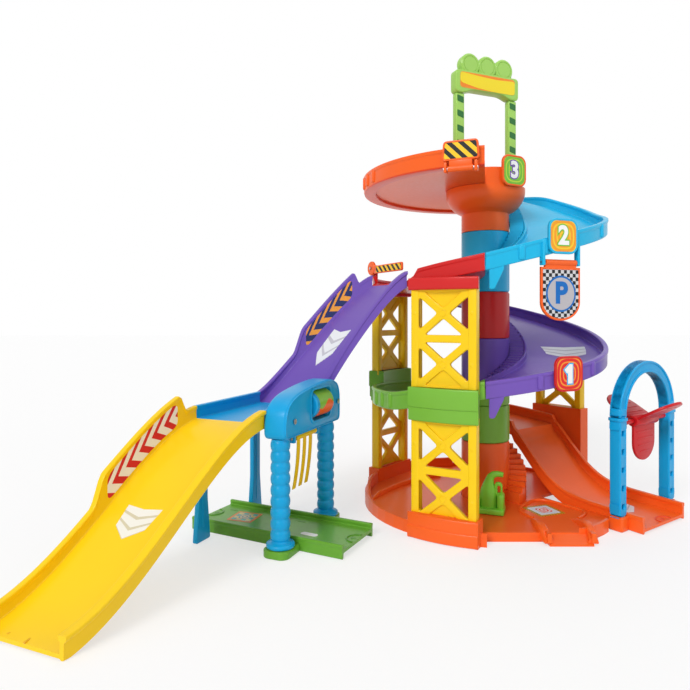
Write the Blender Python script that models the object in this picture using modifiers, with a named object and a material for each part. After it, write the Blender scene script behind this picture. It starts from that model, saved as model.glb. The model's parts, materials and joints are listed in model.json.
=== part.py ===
"""Toy parking garage: a three-level spiral tower with a slide, an exit road under a
spinner arch, and a ramp that leads over a car-wash bridge to the floor.

Metres, +Z up. The origin is on the column's axis at floor level. Angles are in degrees
from +X, anticlockwise seen from above. A toy car runs down clockwise.
"""

import math

import bmesh
import bpy
from mathutils import Matrix, Vector

MM = 0.001

# Clearances
WELD = 0.002 * MM
GAP = 0.3 * MM
PIN_GAP = 0.3 * MM
SWING_GAP = 1.0 * MM

# Levels, as floor heights
DECK_FLOOR = 366 * MM
RED_FLOOR = 252 * MM
GREEN_FLOOR = 121 * MM
BLUE_END_LIFT = 14 * MM
PURPLE_END_LIFT = 22 * MM
BLUE_END_FLOOR = RED_FLOOR + BLUE_END_LIFT
PURPLE_END_FLOOR = GREEN_FLOOR + PURPLE_END_LIFT

# Column
COLUMN_RADIUS = 27 * MM
COLUMN_WALL = 2.5 * MM
SPIGOT_HEIGHT = 5 * MM
FOOT_TOP = 74 * MM
GREEN_SECTION = 42 * MM
LANDING_SECTION = 20 * MM
PURPLE_SECTION = 56 * MM
RED_SECTION = 53 * MM
GREEN_TOP = FOOT_TOP + GREEN_SECTION
PURPLE_BOTTOM = GREEN_TOP + LANDING_SECTION
PURPLE_TOP = PURPLE_BOTTOM + PURPLE_SECTION
RED_TOP = PURPLE_TOP + RED_SECTION
NECK_HEIGHT = 22 * MM
BOWL_HEIGHT = 30 * MM
NECK_TOP = DECK_FLOOR - BOWL_HEIGHT
BLUE_TOP = NECK_TOP - NECK_HEIGHT
BOWL_LIP = 3 * MM
BOWL_SHOULDER = 8 * MM

# Track section
TRACK_OUTER = 131 * MM
DECK_MARGIN = 10 * MM
DECK_OUTER = TRACK_OUTER + DECK_MARGIN
TRACK_INNER = 47 * MM
BOWL_ROOM = 2 * MM
BOWL_RADIUS = TRACK_INNER - BOWL_ROOM
TRACK_WALL = 3.2 * MM
DRAFT = 0.4 * MM
FLOOR_THICKNESS = 3 * MM
WALL_RISE = 12 * MM
WALL_DROP = 5 * MM
CURB_RISE = 6 * MM
LANDING_RISE = 14 * MM
COLUMN_CLEARANCE = 0.5 * MM
SECTION_STEP = 9.0
EXIT_STEP = 9 * MM

# Where the levels meet, as angles
FRONT_SEAM = -103.0
DECK_END = 60.0
LANDING_END = -236.0
LANDING_RISE_ANGLE = -112.0
SEAM_GAP_ANGLE = 0.25

# Ramp mouth on level 2
MOUTH_START = -137.5
MOUTH_END = -169.5
MOUTH_MIDDLE = (MOUTH_START + MOUTH_END) / 2
MOUTH_LIP = 0.6 * MM
MOUTH_FADE = 4.0

# Base
BASE_MARGIN = 9 * MM
BASE_FRONT_CUT = 18 * MM
BASE_RADIUS = TRACK_OUTER + BASE_MARGIN
BASE_FRONT = BASE_RADIUS - BASE_FRONT_CUT
ENTRY_LEFT = 30 * MM
ENTRY_RIGHT = 72 * MM
ENTRY_CURB_INSIDE = 30 * MM
ENTRY_BACK = BASE_FRONT - ENTRY_CURB_INSIDE
ENTRY_LIP = 12 * MM
ENTRY_CURB = 4 * MM
ENTRY_ROOT = 2 * MM
ENTRY_NOSE = 1.5 * MM
ENTRY_STEP = 1 * MM
FRONT_LEFT = -50 * MM
FRONT_RIGHT = 66.5 * MM
ROOM_LEFT = -30 * MM
ROOM_RIGHT = 100 * MM
ROOM_DEPTH = 40 * MM
BASE_TOP = 9 * MM
BASE_SKIN = 3 * MM
BASE_RIM = 3 * MM
BASE_CURB = 4 * MM

# Lattice towers
TOWER_WIDTH = 66 * MM
TOWER_DEPTH = 6 * MM
TOWER_OUT = 7 * MM
TOWER_RADIUS = TRACK_OUTER + TOWER_OUT
TOWER_FRONT_ANGLE = -119.5
TOWER_BACK_ANGLE = 140.0
TOWER_SLIDE_ANGLE = 37.0
RAIL_WIDTH = 8 * MM
RAIL_DEPTH = 11 * MM
BAR = 7.5 * MM
SOCKET_TOP = 25 * MM
SOCKET_SEAT = 12 * MM
SLIDE_SOCKET_TOP = 100 * MM
BLOCK_DEPTH = 16 * MM
BLOCK_WALL = 2.5 * MM
BLOCK_OUT = TOWER_DEPTH / 2 + BLOCK_WALL
SLIDE_SOCKET_ROOM = 0.5 * MM
SLIDE_BLOCK_REACH = 3.5 * MM
SLIDE_BLOCK_ROOT = 0.225 * MM
SLIDE_BLOCK_HEIGHT = 12 * MM
TOWER_SLIDE_RADIUS = BASE_RADIUS + SLIDE_SOCKET_ROOM + BLOCK_DEPTH - BLOCK_OUT
SLIDE_BLOCK_DEPTH = TOWER_SLIDE_RADIUS + BLOCK_OUT - TRACK_OUTER + SLIDE_BLOCK_REACH
GREEN_BLOCK_DROP = 6 * MM
GREEN_BLOCK_HEIGHT = 33 * MM
RED_BLOCK_DROP = 9 * MM
RED_BLOCK_HEIGHT = 12 * MM
GREEN_BLOCK_BOTTOM = GREEN_FLOOR - GREEN_BLOCK_DROP
GREEN_BLOCK_TOP = GREEN_BLOCK_BOTTOM + GREEN_BLOCK_HEIGHT
RED_BLOCK_BOTTOM = RED_FLOOR - RED_BLOCK_DROP
RED_BLOCK_TOP = RED_BLOCK_BOTTOM + RED_BLOCK_HEIGHT
BLOCK_SEAT = 6 * MM
SLIDE_SOCKET_SEAT = 8 * MM
SOCKET_LEDGE = 1 * MM

# Slide and exit road
SLIDE_MIDDLE = (TRACK_OUTER + TRACK_INNER) / 2
SLIDE_HALF = (TRACK_OUTER - TRACK_INNER) / 2
SLIDE_LEAVE_ANGLE = 35.6
EXIT_FLOOR = 5 * MM
SLIDE_FOOT = 78 * MM
EXIT_PAST = 31 * MM
EXIT_LENGTH = TRACK_OUTER + EXIT_PAST
EXIT_ROOM_START = 40.5 * MM
EXIT_ROOM_PAST = 8 * MM
EXIT_KEYS = [(34 * MM, 39 * MM), (62 * MM, 14 * MM), (90 * MM, 8 * MM)]

# Spinner arch
ARCH_END = 22 * MM
ARCH_SIDE = 7 * MM
ARCH_ALONG = EXIT_LENGTH - ARCH_END
ARCH_HALF_SPAN = SLIDE_HALF + ARCH_SIDE
ARCH_LEG = 12 * MM
ARCH_LEG_TOP = 115 * MM
ARCH_RING_WIDTH = 12 * MM
ARCH_FOOT = 15 * MM
ARCH_HOLE = 5 * MM
ARCH_HOLES = 5
ARCH_HOLE_PITCH = 18.5 * MM
ARCH_COLLAR = 16 * MM
ARCH_COLLAR_HEIGHT = 3.4 * MM
ARCH_HOLE_FIRST = 10 * MM
ARCH_SEAT_SIDE = 1 * MM
ARCH_SEAT_END = 2 * MM
SPINNER_DROP = 7 * MM
SPINNER_HEIGHT = ARCH_LEG_TOP - SPINNER_DROP
SPINNER_RADIUS = 43 * MM
SPINNER_WIDTH = 44 * MM
SPINNER_BLADES = 3
BLADE_THICKNESS = 3 * MM
HUB_RADIUS = 6 * MM
BLADE_SIDE = 1 * MM
BLADE_ROOT = 2 * MM
BLADE_ROUND = 20 * MM
AXLE_RADIUS = 2.5 * MM
AXLE_END = 1 * MM

# Bridge
LEG_B = Vector((-184 * MM, -62 * MM, 0))
BRIDGE_HEADING = 247.0
LEG_SPACING = 98 * MM
BRIDGE_FLOOR = 120 * MM
BRIDGE_OVERHANG = 9 * MM
LEG_RADIUS = 8 * MM
LEG_FLANGE_RADIUS = 13 * MM
LEG_RIBS = 8
LEG_RIB = 1.5 * MM
LEG_FLANGE = 3 * MM
LEG_NECK = 8 * MM
TAB_TOP = 7 * MM
TAB_LENGTH = 36 * MM
TAB_WIDTH = 26 * MM
TAB_SHIFT = 4 * MM
FOOT_LIFT = 0.4 * MM
FAR_LEG_THICKNESS = 5 * MM
FAR_LEG_WIDTH = 14 * MM
FAR_FOOT_WIDTH = 22.4 * MM
FAR_FOOT_HEIGHT = 40 * MM
HOUSING_DROP = 14 * MM
HOUSING_BOTTOM = BRIDGE_FLOOR - HOUSING_DROP
HOUSING_DEPTH = 22 * MM
HOUSING_OUTLINE = [(-13, 4), (-13, 22), (-9, 33), (2, 42), (20, 46), (48, 43), (84, 32), (104, 20), (110, 8),
                   (110, 0), (-10, 0)]
HOUSING_ROOM = 0.5 * MM
DECK_NEAR = HOUSING_DEPTH / 2 + HOUSING_ROOM
DECK_WIDTH = 78 * MM
ROLLER_RADIUS = 13.5 * MM
ROLLER_LENGTH = 40 * MM
ROLLER_ALONG = 34 * MM
ROLLER_LIFT = 24 * MM
ROLLER_HEIGHT = HOUSING_BOTTOM + ROLLER_LIFT
ROLLER_ACROSS = -3 * MM
ROLLER_ROOM = 1.5 * MM
ROLLER_PIN_SEAT = 5 * MM
STRIP_LENGTH = 50 * MM
STRIP_WIDTH = 6 * MM
STRIP_THICKNESS = 1.5 * MM
STRIP_PITCH = 13 * MM
STRIP_COUNT = 3
RAIL_PIN_RADIUS = 1.5 * MM
RAIL_HANGER = 8 * MM
RAIL_DROP = 4.8 * MM
HANGER_WIDTH = 4 * MM
HANGER_DEPTH = 6 * MM
HANGER_ROOT = 2 * MM
HANGER_ROOM = 4 * MM
SLEEVE_WALL = 1.2 * MM
SCREW_RADIUS = 2.6 * MM
SCREW_HEAD = 1.2 * MM
SCREW_PLACES = [("back", -6 * MM, HOUSING_BOTTOM + 21 * MM), ("front", 92 * MM, HOUSING_BOTTOM + 15 * MM)]

# Green road
ROAD_HEADING = -27.0
ROAD_LENGTH = 172 * MM
ROAD_ROOM = 4.8 * MM
ROAD_HALF = (LEG_SPACING - FAR_FOOT_WIDTH) / 2 - ROAD_ROOM
ROAD_FLOOR = 8 * MM
ROAD_RISE = 5 * MM
ROAD_ACROSS = 26.64 * MM

# Side panels along the ramps' far walls, as (share of the length, wall rise)
RAMP_SECTIONS = 18
PANEL_RISE = 30 * MM
PURPLE_PANEL = [(0.13, WALL_RISE), (0.17, PANEL_RISE), (0.57, PANEL_RISE), (0.63, WALL_RISE)]
YELLOW_PANEL = [(0.07, WALL_RISE), (0.10, PANEL_RISE), (0.52, PANEL_RISE), (0.56, WALL_RISE)]

# Purple ramp: how it leaves level 2 and meets the bridge, seen from above
NEAR_LEAVE = (-126 * MM, -88 * MM)
FAR_LEAVE = (-166 * MM, 8 * MM)
NEAR_JOIN = 34 * MM
NEAR_JOIN_SHIFT = 9 * MM
FAR_JOIN = 56 * MM
RAMP_STEP_DOWN = 1 * MM
PURPLE_EASE = 0.75
YELLOW_EASE = 0.7

# Yellow ramp
YELLOW_HEADING = 238.0
YELLOW_LENGTH = 196 * MM
YELLOW_END_FLOOR = 4 * MM

# Signs and gates
BADGE_RADIUS = 17 * MM
BADGE_DEPTH = 3 * MM
BADGE_CORNER = 9 * MM
BADGE_PLACES = [
    ("level_one_badge", -67.0, TRACK_OUTER, PURPLE_END_FLOOR + 2 * MM + BADGE_RADIUS),
    ("level_two_badge", -70.0, TRACK_OUTER, BLUE_END_FLOOR + 11 * MM + BADGE_RADIUS),
    ("level_three_badge", -62.0, BOWL_RADIUS, DECK_FLOOR - 6 * MM + BADGE_RADIUS),
]
POST_WIDTH = 11 * MM
POST_DEPTH = 8 * MM
POST_INSIDE = 11 * MM
POST_HALF_SPAN = TRACK_INNER - POST_INSIDE
SIGN_HEADING = 22.0
SIGN_LIFT = 106 * MM
SIGN_HEIGHT = 26 * MM
SIGN_BOTTOM = DECK_FLOOR + SIGN_LIFT
SIGN_TOP = SIGN_BOTTOM + SIGN_HEIGHT
SIGN_LENGTH = 86 * MM
SIGN_DEPTH = 12 * MM
BUMP_RADIUS = 12.5 * MM
BUMP_PITCH = 23 * MM
BUMP_LIFT = 8 * MM
BUMP_INSET = 1 * MM
PARKING_ANGLE = -70.0
PARKING_WIDTH = 46 * MM
PARKING_HEIGHT = 56 * MM
PARKING_DEPTH = 3 * MM
PARKING_INSET = 2 * MM
PARKING_DROP = 15.5825 * MM
PARKING_SHOULDER = 4.5 * MM
PARKING_NECK = 7 * MM
PARKING_ROUND = 18 * MM
EAR_WIDTH = 3 * MM
EAR_DEPTH = 6 * MM
EAR_BELOW = 3 * MM
EAR_REACH = 21 * MM
BARREL_RADIUS = 3 * MM
BARREL_INSET = 5 * MM
PIN_INSET = 1 * MM
GATE_ANGLE = -112.0
GATE_OUT = 4 * MM
GATE_DROP = 9 * MM
GATE_HINGE = DECK_FLOOR - GATE_DROP
GATE_WIDTH = 36 * MM
GATE_HEIGHT = 19 * MM
GATE_DEPTH = 3 * MM
GATE_NECK_WIDTH = 22 * MM
GATE_NECK_HEIGHT = 9 * MM
GATE_NECK_DEPTH = 2.4 * MM
GATE_BARREL = 24 * MM
GATE_PIN = 33 * MM
GATE_EAR_SPAN = 14.5 * MM
GATE_EAR_HEIGHT = 10 * MM
GATE_EAR_DEPTH = 8 * MM
GATE_EAR_SHIFT = 1.5 * MM
ARM_LENGTH = 60 * MM
ARM_HEIGHT = 9 * MM
ARM_DEPTH = 2.4 * MM
ARM_START = 6 * MM
ARM_BELOW = 2 * MM
ARM_DISC = 8 * MM
ARM_DISC_DEPTH = 3 * MM
ARM_OUT = 2.5 * MM
ARM_PIN = 9 * MM
ARM_LIFT = 8 * MM
ARM_ANGLE = 5.5
ARM_POST_WIDTH = 9 * MM
ARM_POST_HEIGHT = 16 * MM
ARM_POST_BELOW = 4.5 * MM
HINGE_RADIUS = 1.5 * MM

# Fuel pump, as (size, place) of each box over its middle on the base
PUMP_PLACE = Vector((-9 * MM, -62 * MM, 0))
PUMP_TURN = -20.0
PUMP_FOOT = ((30 * MM, 22 * MM, 6 * MM), (0, 0, 3 * MM))
PUMP_BODY = ((19 * MM, 14 * MM, 36 * MM), (-2 * MM, 0, 22 * MM))
PUMP_HANDLE = ((8 * MM, 10 * MM, 26 * MM), (10 * MM, 0, 21 * MM))
PUMP_NOZZLE = ((13 * MM, 8 * MM, 6 * MM), (6 * MM, 0, 41 * MM))
PUMP_SLOT = ((4 * MM, 30 * MM, 14 * MM), (9.5 * MM, 0, 22 * MM))

# Floor heights along each level, as (angle, height)
BLUE_KEYS = [(DECK_END, DECK_FLOOR), (42.0, DECK_FLOOR - 4 * MM), (0.0, 324 * MM),
             (FRONT_SEAM, BLUE_END_FLOOR)]
RED_KEYS = [(FRONT_SEAM, BLUE_END_FLOOR), (MOUTH_START, RED_FLOOR), (LANDING_END, RED_FLOOR - 2 * MM)]
PURPLE_KEYS = [(LANDING_END + 360.0, RED_FLOOR - 2 * MM), (60.0, 218 * MM), (-20.0, 172 * MM),
               (FRONT_SEAM, PURPLE_END_FLOOR)]
GREEN_KEYS = [(FRONT_SEAM, PURPLE_END_FLOOR), (-150.0, GREEN_FLOOR + 2 * MM),
              (LANDING_END, GREEN_FLOOR - 3 * MM)]
SLIDE_KEYS = [(LANDING_END + 360.0, GREEN_FLOOR - 3 * MM), (63.0, 86 * MM), (SLIDE_LEAVE_ANGLE, SLIDE_FOOT)]

PARTS = "toy_parking_garage"
CUTTERS = "cutters"


def clear_scene():
    """Start from an empty file."""
    for item in list(bpy.data.objects):
        bpy.data.objects.remove(item, do_unlink=True)


def collection(name):
    """Return a collection in the scene, made if it is missing."""
    found = bpy.data.collections.get(name)
    if found is None:
        found = bpy.data.collections.new(name)
        bpy.context.scene.collection.children.link(found)
    return found


def plastic(name, colour, roughness=0.35):
    """Return a moulded plastic of one colour."""
    made = bpy.data.materials.get(name)
    if made is None:
        made = bpy.data.materials.new(name)
        made.use_nodes = True
        shader = made.node_tree.nodes["Principled BSDF"]
        shader.inputs["Base Color"].default_value = (*colour, 1.0)
        shader.inputs["Roughness"].default_value = roughness
        made.diffuse_color = (*colour, 1.0)
    return made


COLOURS = {
    "orange_plastic": (0.86, 0.16, 0.02),
    "green_plastic": (0.18, 0.48, 0.04),
    "light_green_plastic": (0.22, 0.60, 0.10),
    "purple_plastic": (0.18, 0.09, 0.47),
    "red_plastic": (0.56, 0.02, 0.02),
    "blue_plastic": (0.01, 0.40, 0.66),
    "bridge_blue_plastic": (0.0, 0.28, 0.68),
    "yellow_plastic": (0.95, 0.62, 0.01),
    "spinner_red_plastic": (0.62, 0.02, 0.02),
    "steel": (0.55, 0.55, 0.56),
}


def polar(radius, angle, z=0.0):
    """Return the point at a radius and an angle about the column."""
    turn = math.radians(angle)
    return Vector((radius * math.cos(turn), radius * math.sin(turn), z))


def heading(angle):
    """Return the level unit vector along an angle."""
    return polar(1.0, angle)


def facing(origin, angle):
    """Return the frame at a point whose local X runs along an angle."""
    return Matrix.Translation(origin) @ Matrix.Rotation(math.radians(angle), 4, "Z")


def add(name, mesh, material, origin=None):
    """Link a mesh, given in world places, as a part with its origin at a point."""
    part = bpy.data.objects.new(name, mesh)
    collection(PARTS).objects.link(part)
    if origin is not None:
        mesh.transform(Matrix.Translation(-origin))
        part.location = origin
    mesh.materials.clear()
    mesh.materials.append(plastic(material, COLOURS[material]))
    mesh.shade_smooth()
    mesh.set_sharp_from_angle(angle=math.radians(35))
    return part


def mesh_from(build, name="shape"):
    """Return the mesh that a function makes in a bmesh."""
    work = bmesh.new()
    build(work)
    bmesh.ops.recalc_face_normals(work, faces=work.faces[:])
    mesh = bpy.data.meshes.new(name)
    work.to_mesh(mesh)
    work.free()
    return mesh


def box(size, frame):
    """Return a box of a size, centred on a frame."""
    scale = Matrix.Diagonal((*size, 1.0))
    return mesh_from(lambda work: bmesh.ops.create_cube(work, size=1.0, matrix=frame @ scale))


def cylinder(radius, depth, frame, segments=24):
    """Return a cylinder along a frame's Z, centred on it."""
    return mesh_from(lambda work: bmesh.ops.create_cone(
        work, cap_ends=True, segments=segments, radius1=radius, radius2=radius, depth=depth, matrix=frame))


def turned(profile, frame, segments=36):
    """Return the solid that a closed outline of (radius, height) points sweeps about a frame's Z."""
    guide_mesh = bpy.data.meshes.new("profile")
    points = [(radius, 0.0, height) for radius, height in profile]
    pairs = [(i, (i + 1) % len(points)) for i in range(len(points))]
    edges = [pair for pair in pairs if points[pair[0]][0] > 0 or points[pair[1]][0] > 0]
    guide_mesh.from_pydata(points, edges, [])
    guide = bpy.data.objects.new("profile", guide_mesh)
    bpy.context.scene.collection.objects.link(guide)
    screw = guide.modifiers.new("turn", "SCREW")
    screw.angle = math.tau
    screw.steps = segments
    screw.render_steps = segments
    screw.use_merge_vertices = True
    screw.merge_threshold = 0.00001
    mesh = evaluated(guide, WELD)
    work = bmesh.new()
    work.from_mesh(mesh)
    bmesh.ops.recalc_face_normals(work, faces=work.faces[:])
    work.to_mesh(mesh)
    work.free()
    mesh.transform(frame)
    return mesh


def evaluated(item, weld=0.0):
    """Return an object's evaluated mesh in world places, welded if asked, and remove the object."""
    bpy.context.view_layer.update()
    graph = bpy.context.evaluated_depsgraph_get()
    mesh = bpy.data.meshes.new_from_object(item.evaluated_get(graph))
    mesh.transform(item.matrix_world)
    bpy.data.objects.remove(item, do_unlink=True)
    if weld:
        work = bmesh.new()
        work.from_mesh(mesh)
        bmesh.ops.remove_doubles(work, verts=work.verts[:], dist=weld)
        work.to_mesh(mesh)
        work.free()
    return mesh


def plate(outlines, thickness, frame):
    """Return a flat plate: the first outline less the others, in a frame's XY, centred in its Z."""
    data = bpy.data.curves.new("outline", "CURVE")
    data.dimensions = "2D"
    data.fill_mode = "BOTH"
    data.extrude = thickness / 2
    for outline in outlines:
        spline = data.splines.new("POLY")
        spline.points.add(len(outline) - 1)
        for point, (x, y) in zip(spline.points, outline):
            point.co = (x, y, 0.0, 1.0)
        spline.use_cyclic_u = True
    item = bpy.data.objects.new("outline", data)
    bpy.context.scene.collection.objects.link(item)
    item.matrix_world = frame
    return evaluated(item, WELD)


def combine(kind, mesh, others):
    """Return a mesh after one exact Boolean with each of the others."""
    item = bpy.data.objects.new("work", mesh)
    bpy.context.scene.collection.objects.link(item)
    tools = []
    for other in others:
        tool = bpy.data.objects.new("tool", other)
        collection(CUTTERS).objects.link(tool)
        tool.hide_render = True
        tool.display_type = "WIRE"
        step = item.modifiers.new(kind, "BOOLEAN")
        step.operation = kind
        step.solver = "EXACT"
        step.object = tool
        tools.append(tool)
    result = evaluated(item)
    for tool in tools:
        bpy.data.objects.remove(tool, do_unlink=True)
    return result


def union(mesh, *others):
    """Return the solids joined into one."""
    return combine("UNION", mesh, others)


def cut(mesh, *others):
    """Return a solid less the others."""
    return combine("DIFFERENCE", mesh, others)


def loft(sections):
    """Return the solid through closed sections that have the same number of points."""
    def build(work):
        rings = [[work.verts.new(point) for point in section] for section in sections]
        count = len(rings[0])
        for first, second in zip(rings, rings[1:]):
            for i in range(count):
                j = (i + 1) % count
                work.faces.new((first[i], first[j], second[j], second[i]))
        work.faces.new(rings[0])
        work.faces.new(rings[-1])
        bmesh.ops.triangulate(work, faces=work.faces[:])
    return mesh_from(build)


def trough(near, far, floor, near_rise=WALL_RISE, far_rise=WALL_RISE, drop=WALL_DROP):
    """Return a channel's section between two level points: floor, side walls and their skirts."""
    across = (far - near).normalized()
    width = (far - near).length
    under = -FLOOR_THICKNESS
    outline = [
        (0.0, -drop), (TRACK_WALL - DRAFT, -drop), (TRACK_WALL, under),
        (width - TRACK_WALL, under), (width - TRACK_WALL + DRAFT, -drop), (width, -drop),
        (width, far_rise), (width - TRACK_WALL + DRAFT, far_rise), (width - TRACK_WALL - DRAFT, 0.0),
        (TRACK_WALL + DRAFT, 0.0), (TRACK_WALL - DRAFT, near_rise), (0.0, near_rise),
    ]
    return [near + across * u + Vector((0, 0, floor + v)) for u, v in outline]


def ring_section(angle, floor, rise, outer):
    """Return a level's section at an angle: hub, curb, floor and outer wall."""
    hub = COLUMN_RADIUS + COLUMN_CLEARANCE
    curb = TRACK_INNER - TRACK_WALL
    under = -FLOOR_THICKNESS
    outline = [
        (hub, under), (outer - TRACK_WALL, under), (outer - TRACK_WALL + DRAFT, -WALL_DROP),
        (outer, -WALL_DROP), (outer, rise), (outer - TRACK_WALL + DRAFT, rise),
        (outer - TRACK_WALL - DRAFT, 0.0),
        (TRACK_INNER, 0.0), (TRACK_INNER, CURB_RISE), (curb, CURB_RISE), (curb, 0.5 * CURB_RISE),
        (hub, 0.5 * CURB_RISE),
    ]
    return [polar(radius, angle, floor + v) for radius, v in outline]


def along_keys(value, keys):
    """Return the height at a value, on straight runs between (value, height) keys."""
    ordered = sorted(keys)
    if value <= ordered[0][0]:
        return ordered[0][1]
    for (start, low), (end, high) in zip(ordered, ordered[1:]):
        if value <= end:
            return low + (high - low) * (value - start) / (end - start)
    return ordered[-1][1]


def steps(start, end, step=SECTION_STEP):
    """Return evenly spaced values from start to end."""
    count = max(2, round(abs(end - start) / step))
    return [start + (end - start) * i / count for i in range(count + 1)]


def ring_track(start, end, keys, rises=None, reach=None):
    """Return a track about the column between two angles, its floor on height keys."""
    angles = sorted(set(steps(start, end)) | {a for a, _ in (rises or []) if start > a > end})
    sections = []
    for angle in angles:
        rise = along_keys(angle, rises) if rises else WALL_RISE
        outer = reach(angle) if reach else TRACK_OUTER
        sections.append(ring_section(angle, along_keys(angle, keys), rise, outer))
    return loft(sections)


def mouth_reach(angle):
    """Return level 2's outer radius at an angle: its edge runs straight across the ramp mouth."""
    if MOUTH_END <= angle <= MOUTH_START:
        return TRACK_OUTER / math.cos(math.radians(angle - MOUTH_MIDDLE))
    return TRACK_OUTER


def wall_frame(angle, radius, z):
    """Return a frame on a wall about the column: X along it, Y up, Z outward."""
    place = polar(radius, angle, z)
    across = heading(angle + 90.0)
    up = Vector((0, 0, 1))
    out = heading(angle)
    frame = Matrix((across, up, out)).transposed().to_4x4()
    return Matrix.Translation(place) @ frame


def lattice(height, cells):
    """Return a lattice panel's outlines: the panel and its holes, from its foot up."""
    half = TOWER_WIDTH / 2
    outlines = [[(-half, 0.0), (half, 0.0), (half, height), (-half, height)]]
    inner = half - RAIL_WIDTH
    end = BAR
    cell = (height - 2 * end - (cells - 1) * BAR) / cells
    for number in range(cells):
        low = end + number * (cell + BAR)
        middle = low + cell / 2
        slope = (cell / 2) / inner
        reach = BAR * 0.5 * math.hypot(1.0, slope)
        side = reach / slope
        for sign in (-1, 1):
            edge = middle + sign * cell / 2
            outlines.append([(sign * inner, low + reach), (sign * inner, low + cell - reach),
                             (sign * side, middle)])
            outlines.append([(side - inner, edge), (inner - side, edge), (0.0, middle + sign * reach)])
    return outlines


def make_tower(name, angle, radius, bottom, top, cells=2):
    """Make one lattice tower: a panel with a deeper rail along each side."""
    height = top - bottom
    panel = plate(lattice(height, cells), TOWER_DEPTH, Matrix.Identity(4))
    rails = []
    for sign in (-1, 1):
        centre = Vector((sign * (TOWER_WIDTH - RAIL_WIDTH) / 2, height / 2, (TOWER_DEPTH - RAIL_DEPTH) / 2))
        rails.append(box((RAIL_WIDTH, height, RAIL_DEPTH), Matrix.Translation(centre)))
    mesh = union(panel, *rails)
    mesh.transform(wall_frame(angle, radius, bottom))
    add(name, mesh, "yellow_plastic")


def tower_room(angle, radius, bottom, top, gap=GAP):
    """Return the room that a tower needs in its socket, with a gap all round."""
    frame = wall_frame(angle, radius, (bottom + top) / 2)
    centre = Matrix.Translation((0, 0, (TOWER_DEPTH - RAIL_DEPTH) / 2))
    return box((TOWER_WIDTH + 2 * gap, top - bottom, RAIL_DEPTH + 2 * gap), frame @ centre)


def tower_block(angle, radius, bottom, top, depth=BLOCK_DEPTH, wall=BLOCK_WALL):
    """Return the block that carries a tower's end."""
    frame = wall_frame(angle, radius, (bottom + top) / 2)
    back = Matrix.Translation((0, 0, (TOWER_DEPTH + 2 * wall - depth) / 2))
    return box((TOWER_WIDTH + 2 * wall, top - bottom, depth), frame @ back)


def make_column():
    """Make the stacked column pieces, each with a spigot that drops into the one below."""
    inner = COLUMN_RADIUS - COLUMN_WALL
    spigot = inner - GAP
    neck = spigot - COLUMN_WALL
    pieces = [
        ("column_green_section", FOOT_TOP, GREEN_TOP, "green_plastic"),
        ("column_landing_section", GREEN_TOP, PURPLE_BOTTOM, "green_plastic"),
        ("column_purple_section", PURPLE_BOTTOM, PURPLE_TOP, "purple_plastic"),
        ("column_red_section", PURPLE_TOP, RED_TOP, "red_plastic"),
        ("column_blue_section", RED_TOP, BLUE_TOP, "blue_plastic"),
    ]
    for name, bottom, top, material in pieces:
        low = bottom + GAP
        tip = low - SPIGOT_HEIGHT
        outline = [
            (COLUMN_RADIUS, top), (COLUMN_RADIUS, low), (spigot, low), (spigot, tip), (neck, tip),
            (neck, low + COLUMN_WALL), (inner, low + COLUMN_WALL), (inner, top),
        ]
        add(name, turned(outline, Matrix.Identity(4)), material)
    shell = cylinder(COLUMN_RADIUS, FOOT_TOP, Matrix.Translation((0, 0, FOOT_TOP / 2)), 36)
    hole = cylinder(inner, FOOT_TOP, Matrix.Translation((0, 0, FOOT_TOP / 2 + BASE_SKIN)), 36)
    add("column_foot", cut(shell, hole), "orange_plastic")


def base_front():
    """Return the wall that closes the base's straight front."""
    height = BASE_TOP - FOOT_LIFT
    middle = Vector(((FRONT_LEFT + FRONT_RIGHT) / 2, -BASE_FRONT + BASE_RIM / 2 - FOOT_LIFT, height / 2))
    return box((FRONT_RIGHT - FRONT_LEFT, BASE_RIM, height), Matrix.Translation(middle))


def front_room():
    """Return the room in front of the base's straight front."""
    middle = Vector(((ROOM_LEFT + ROOM_RIGHT) / 2, -BASE_FRONT - ROOM_DEPTH / 2, 0))
    return box((ROOM_RIGHT - ROOM_LEFT, ROOM_DEPTH, ROOM_DEPTH), Matrix.Translation(middle))


def entry_way():
    """Return the lip that a car drives up at the front, and a curb along each side of it."""
    front = BASE_FRONT + ENTRY_LIP
    root = ENTRY_ROOT - BASE_FRONT
    lip = [(root, ENTRY_STEP), (root, BASE_TOP - ENTRY_STEP), (-BASE_FRONT, BASE_TOP - ENTRY_STEP),
           (-front, ENTRY_NOSE), (-front, 0.0), (-BASE_FRONT, 0.0)]
    pieces = [loft([[Vector((x, y, z)) for y, z in lip] for x in (ENTRY_LEFT, ENTRY_RIGHT)])]
    for x in (ENTRY_LEFT, ENTRY_RIGHT):
        size = (ENTRY_CURB, front - ENTRY_BACK, BASE_TOP)
        middle = Vector((x, -(front + ENTRY_BACK) / 2, BASE_TOP - ENTRY_NOSE))
        pieces.append(box(size, Matrix.Translation(middle)))
    return pieces


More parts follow.
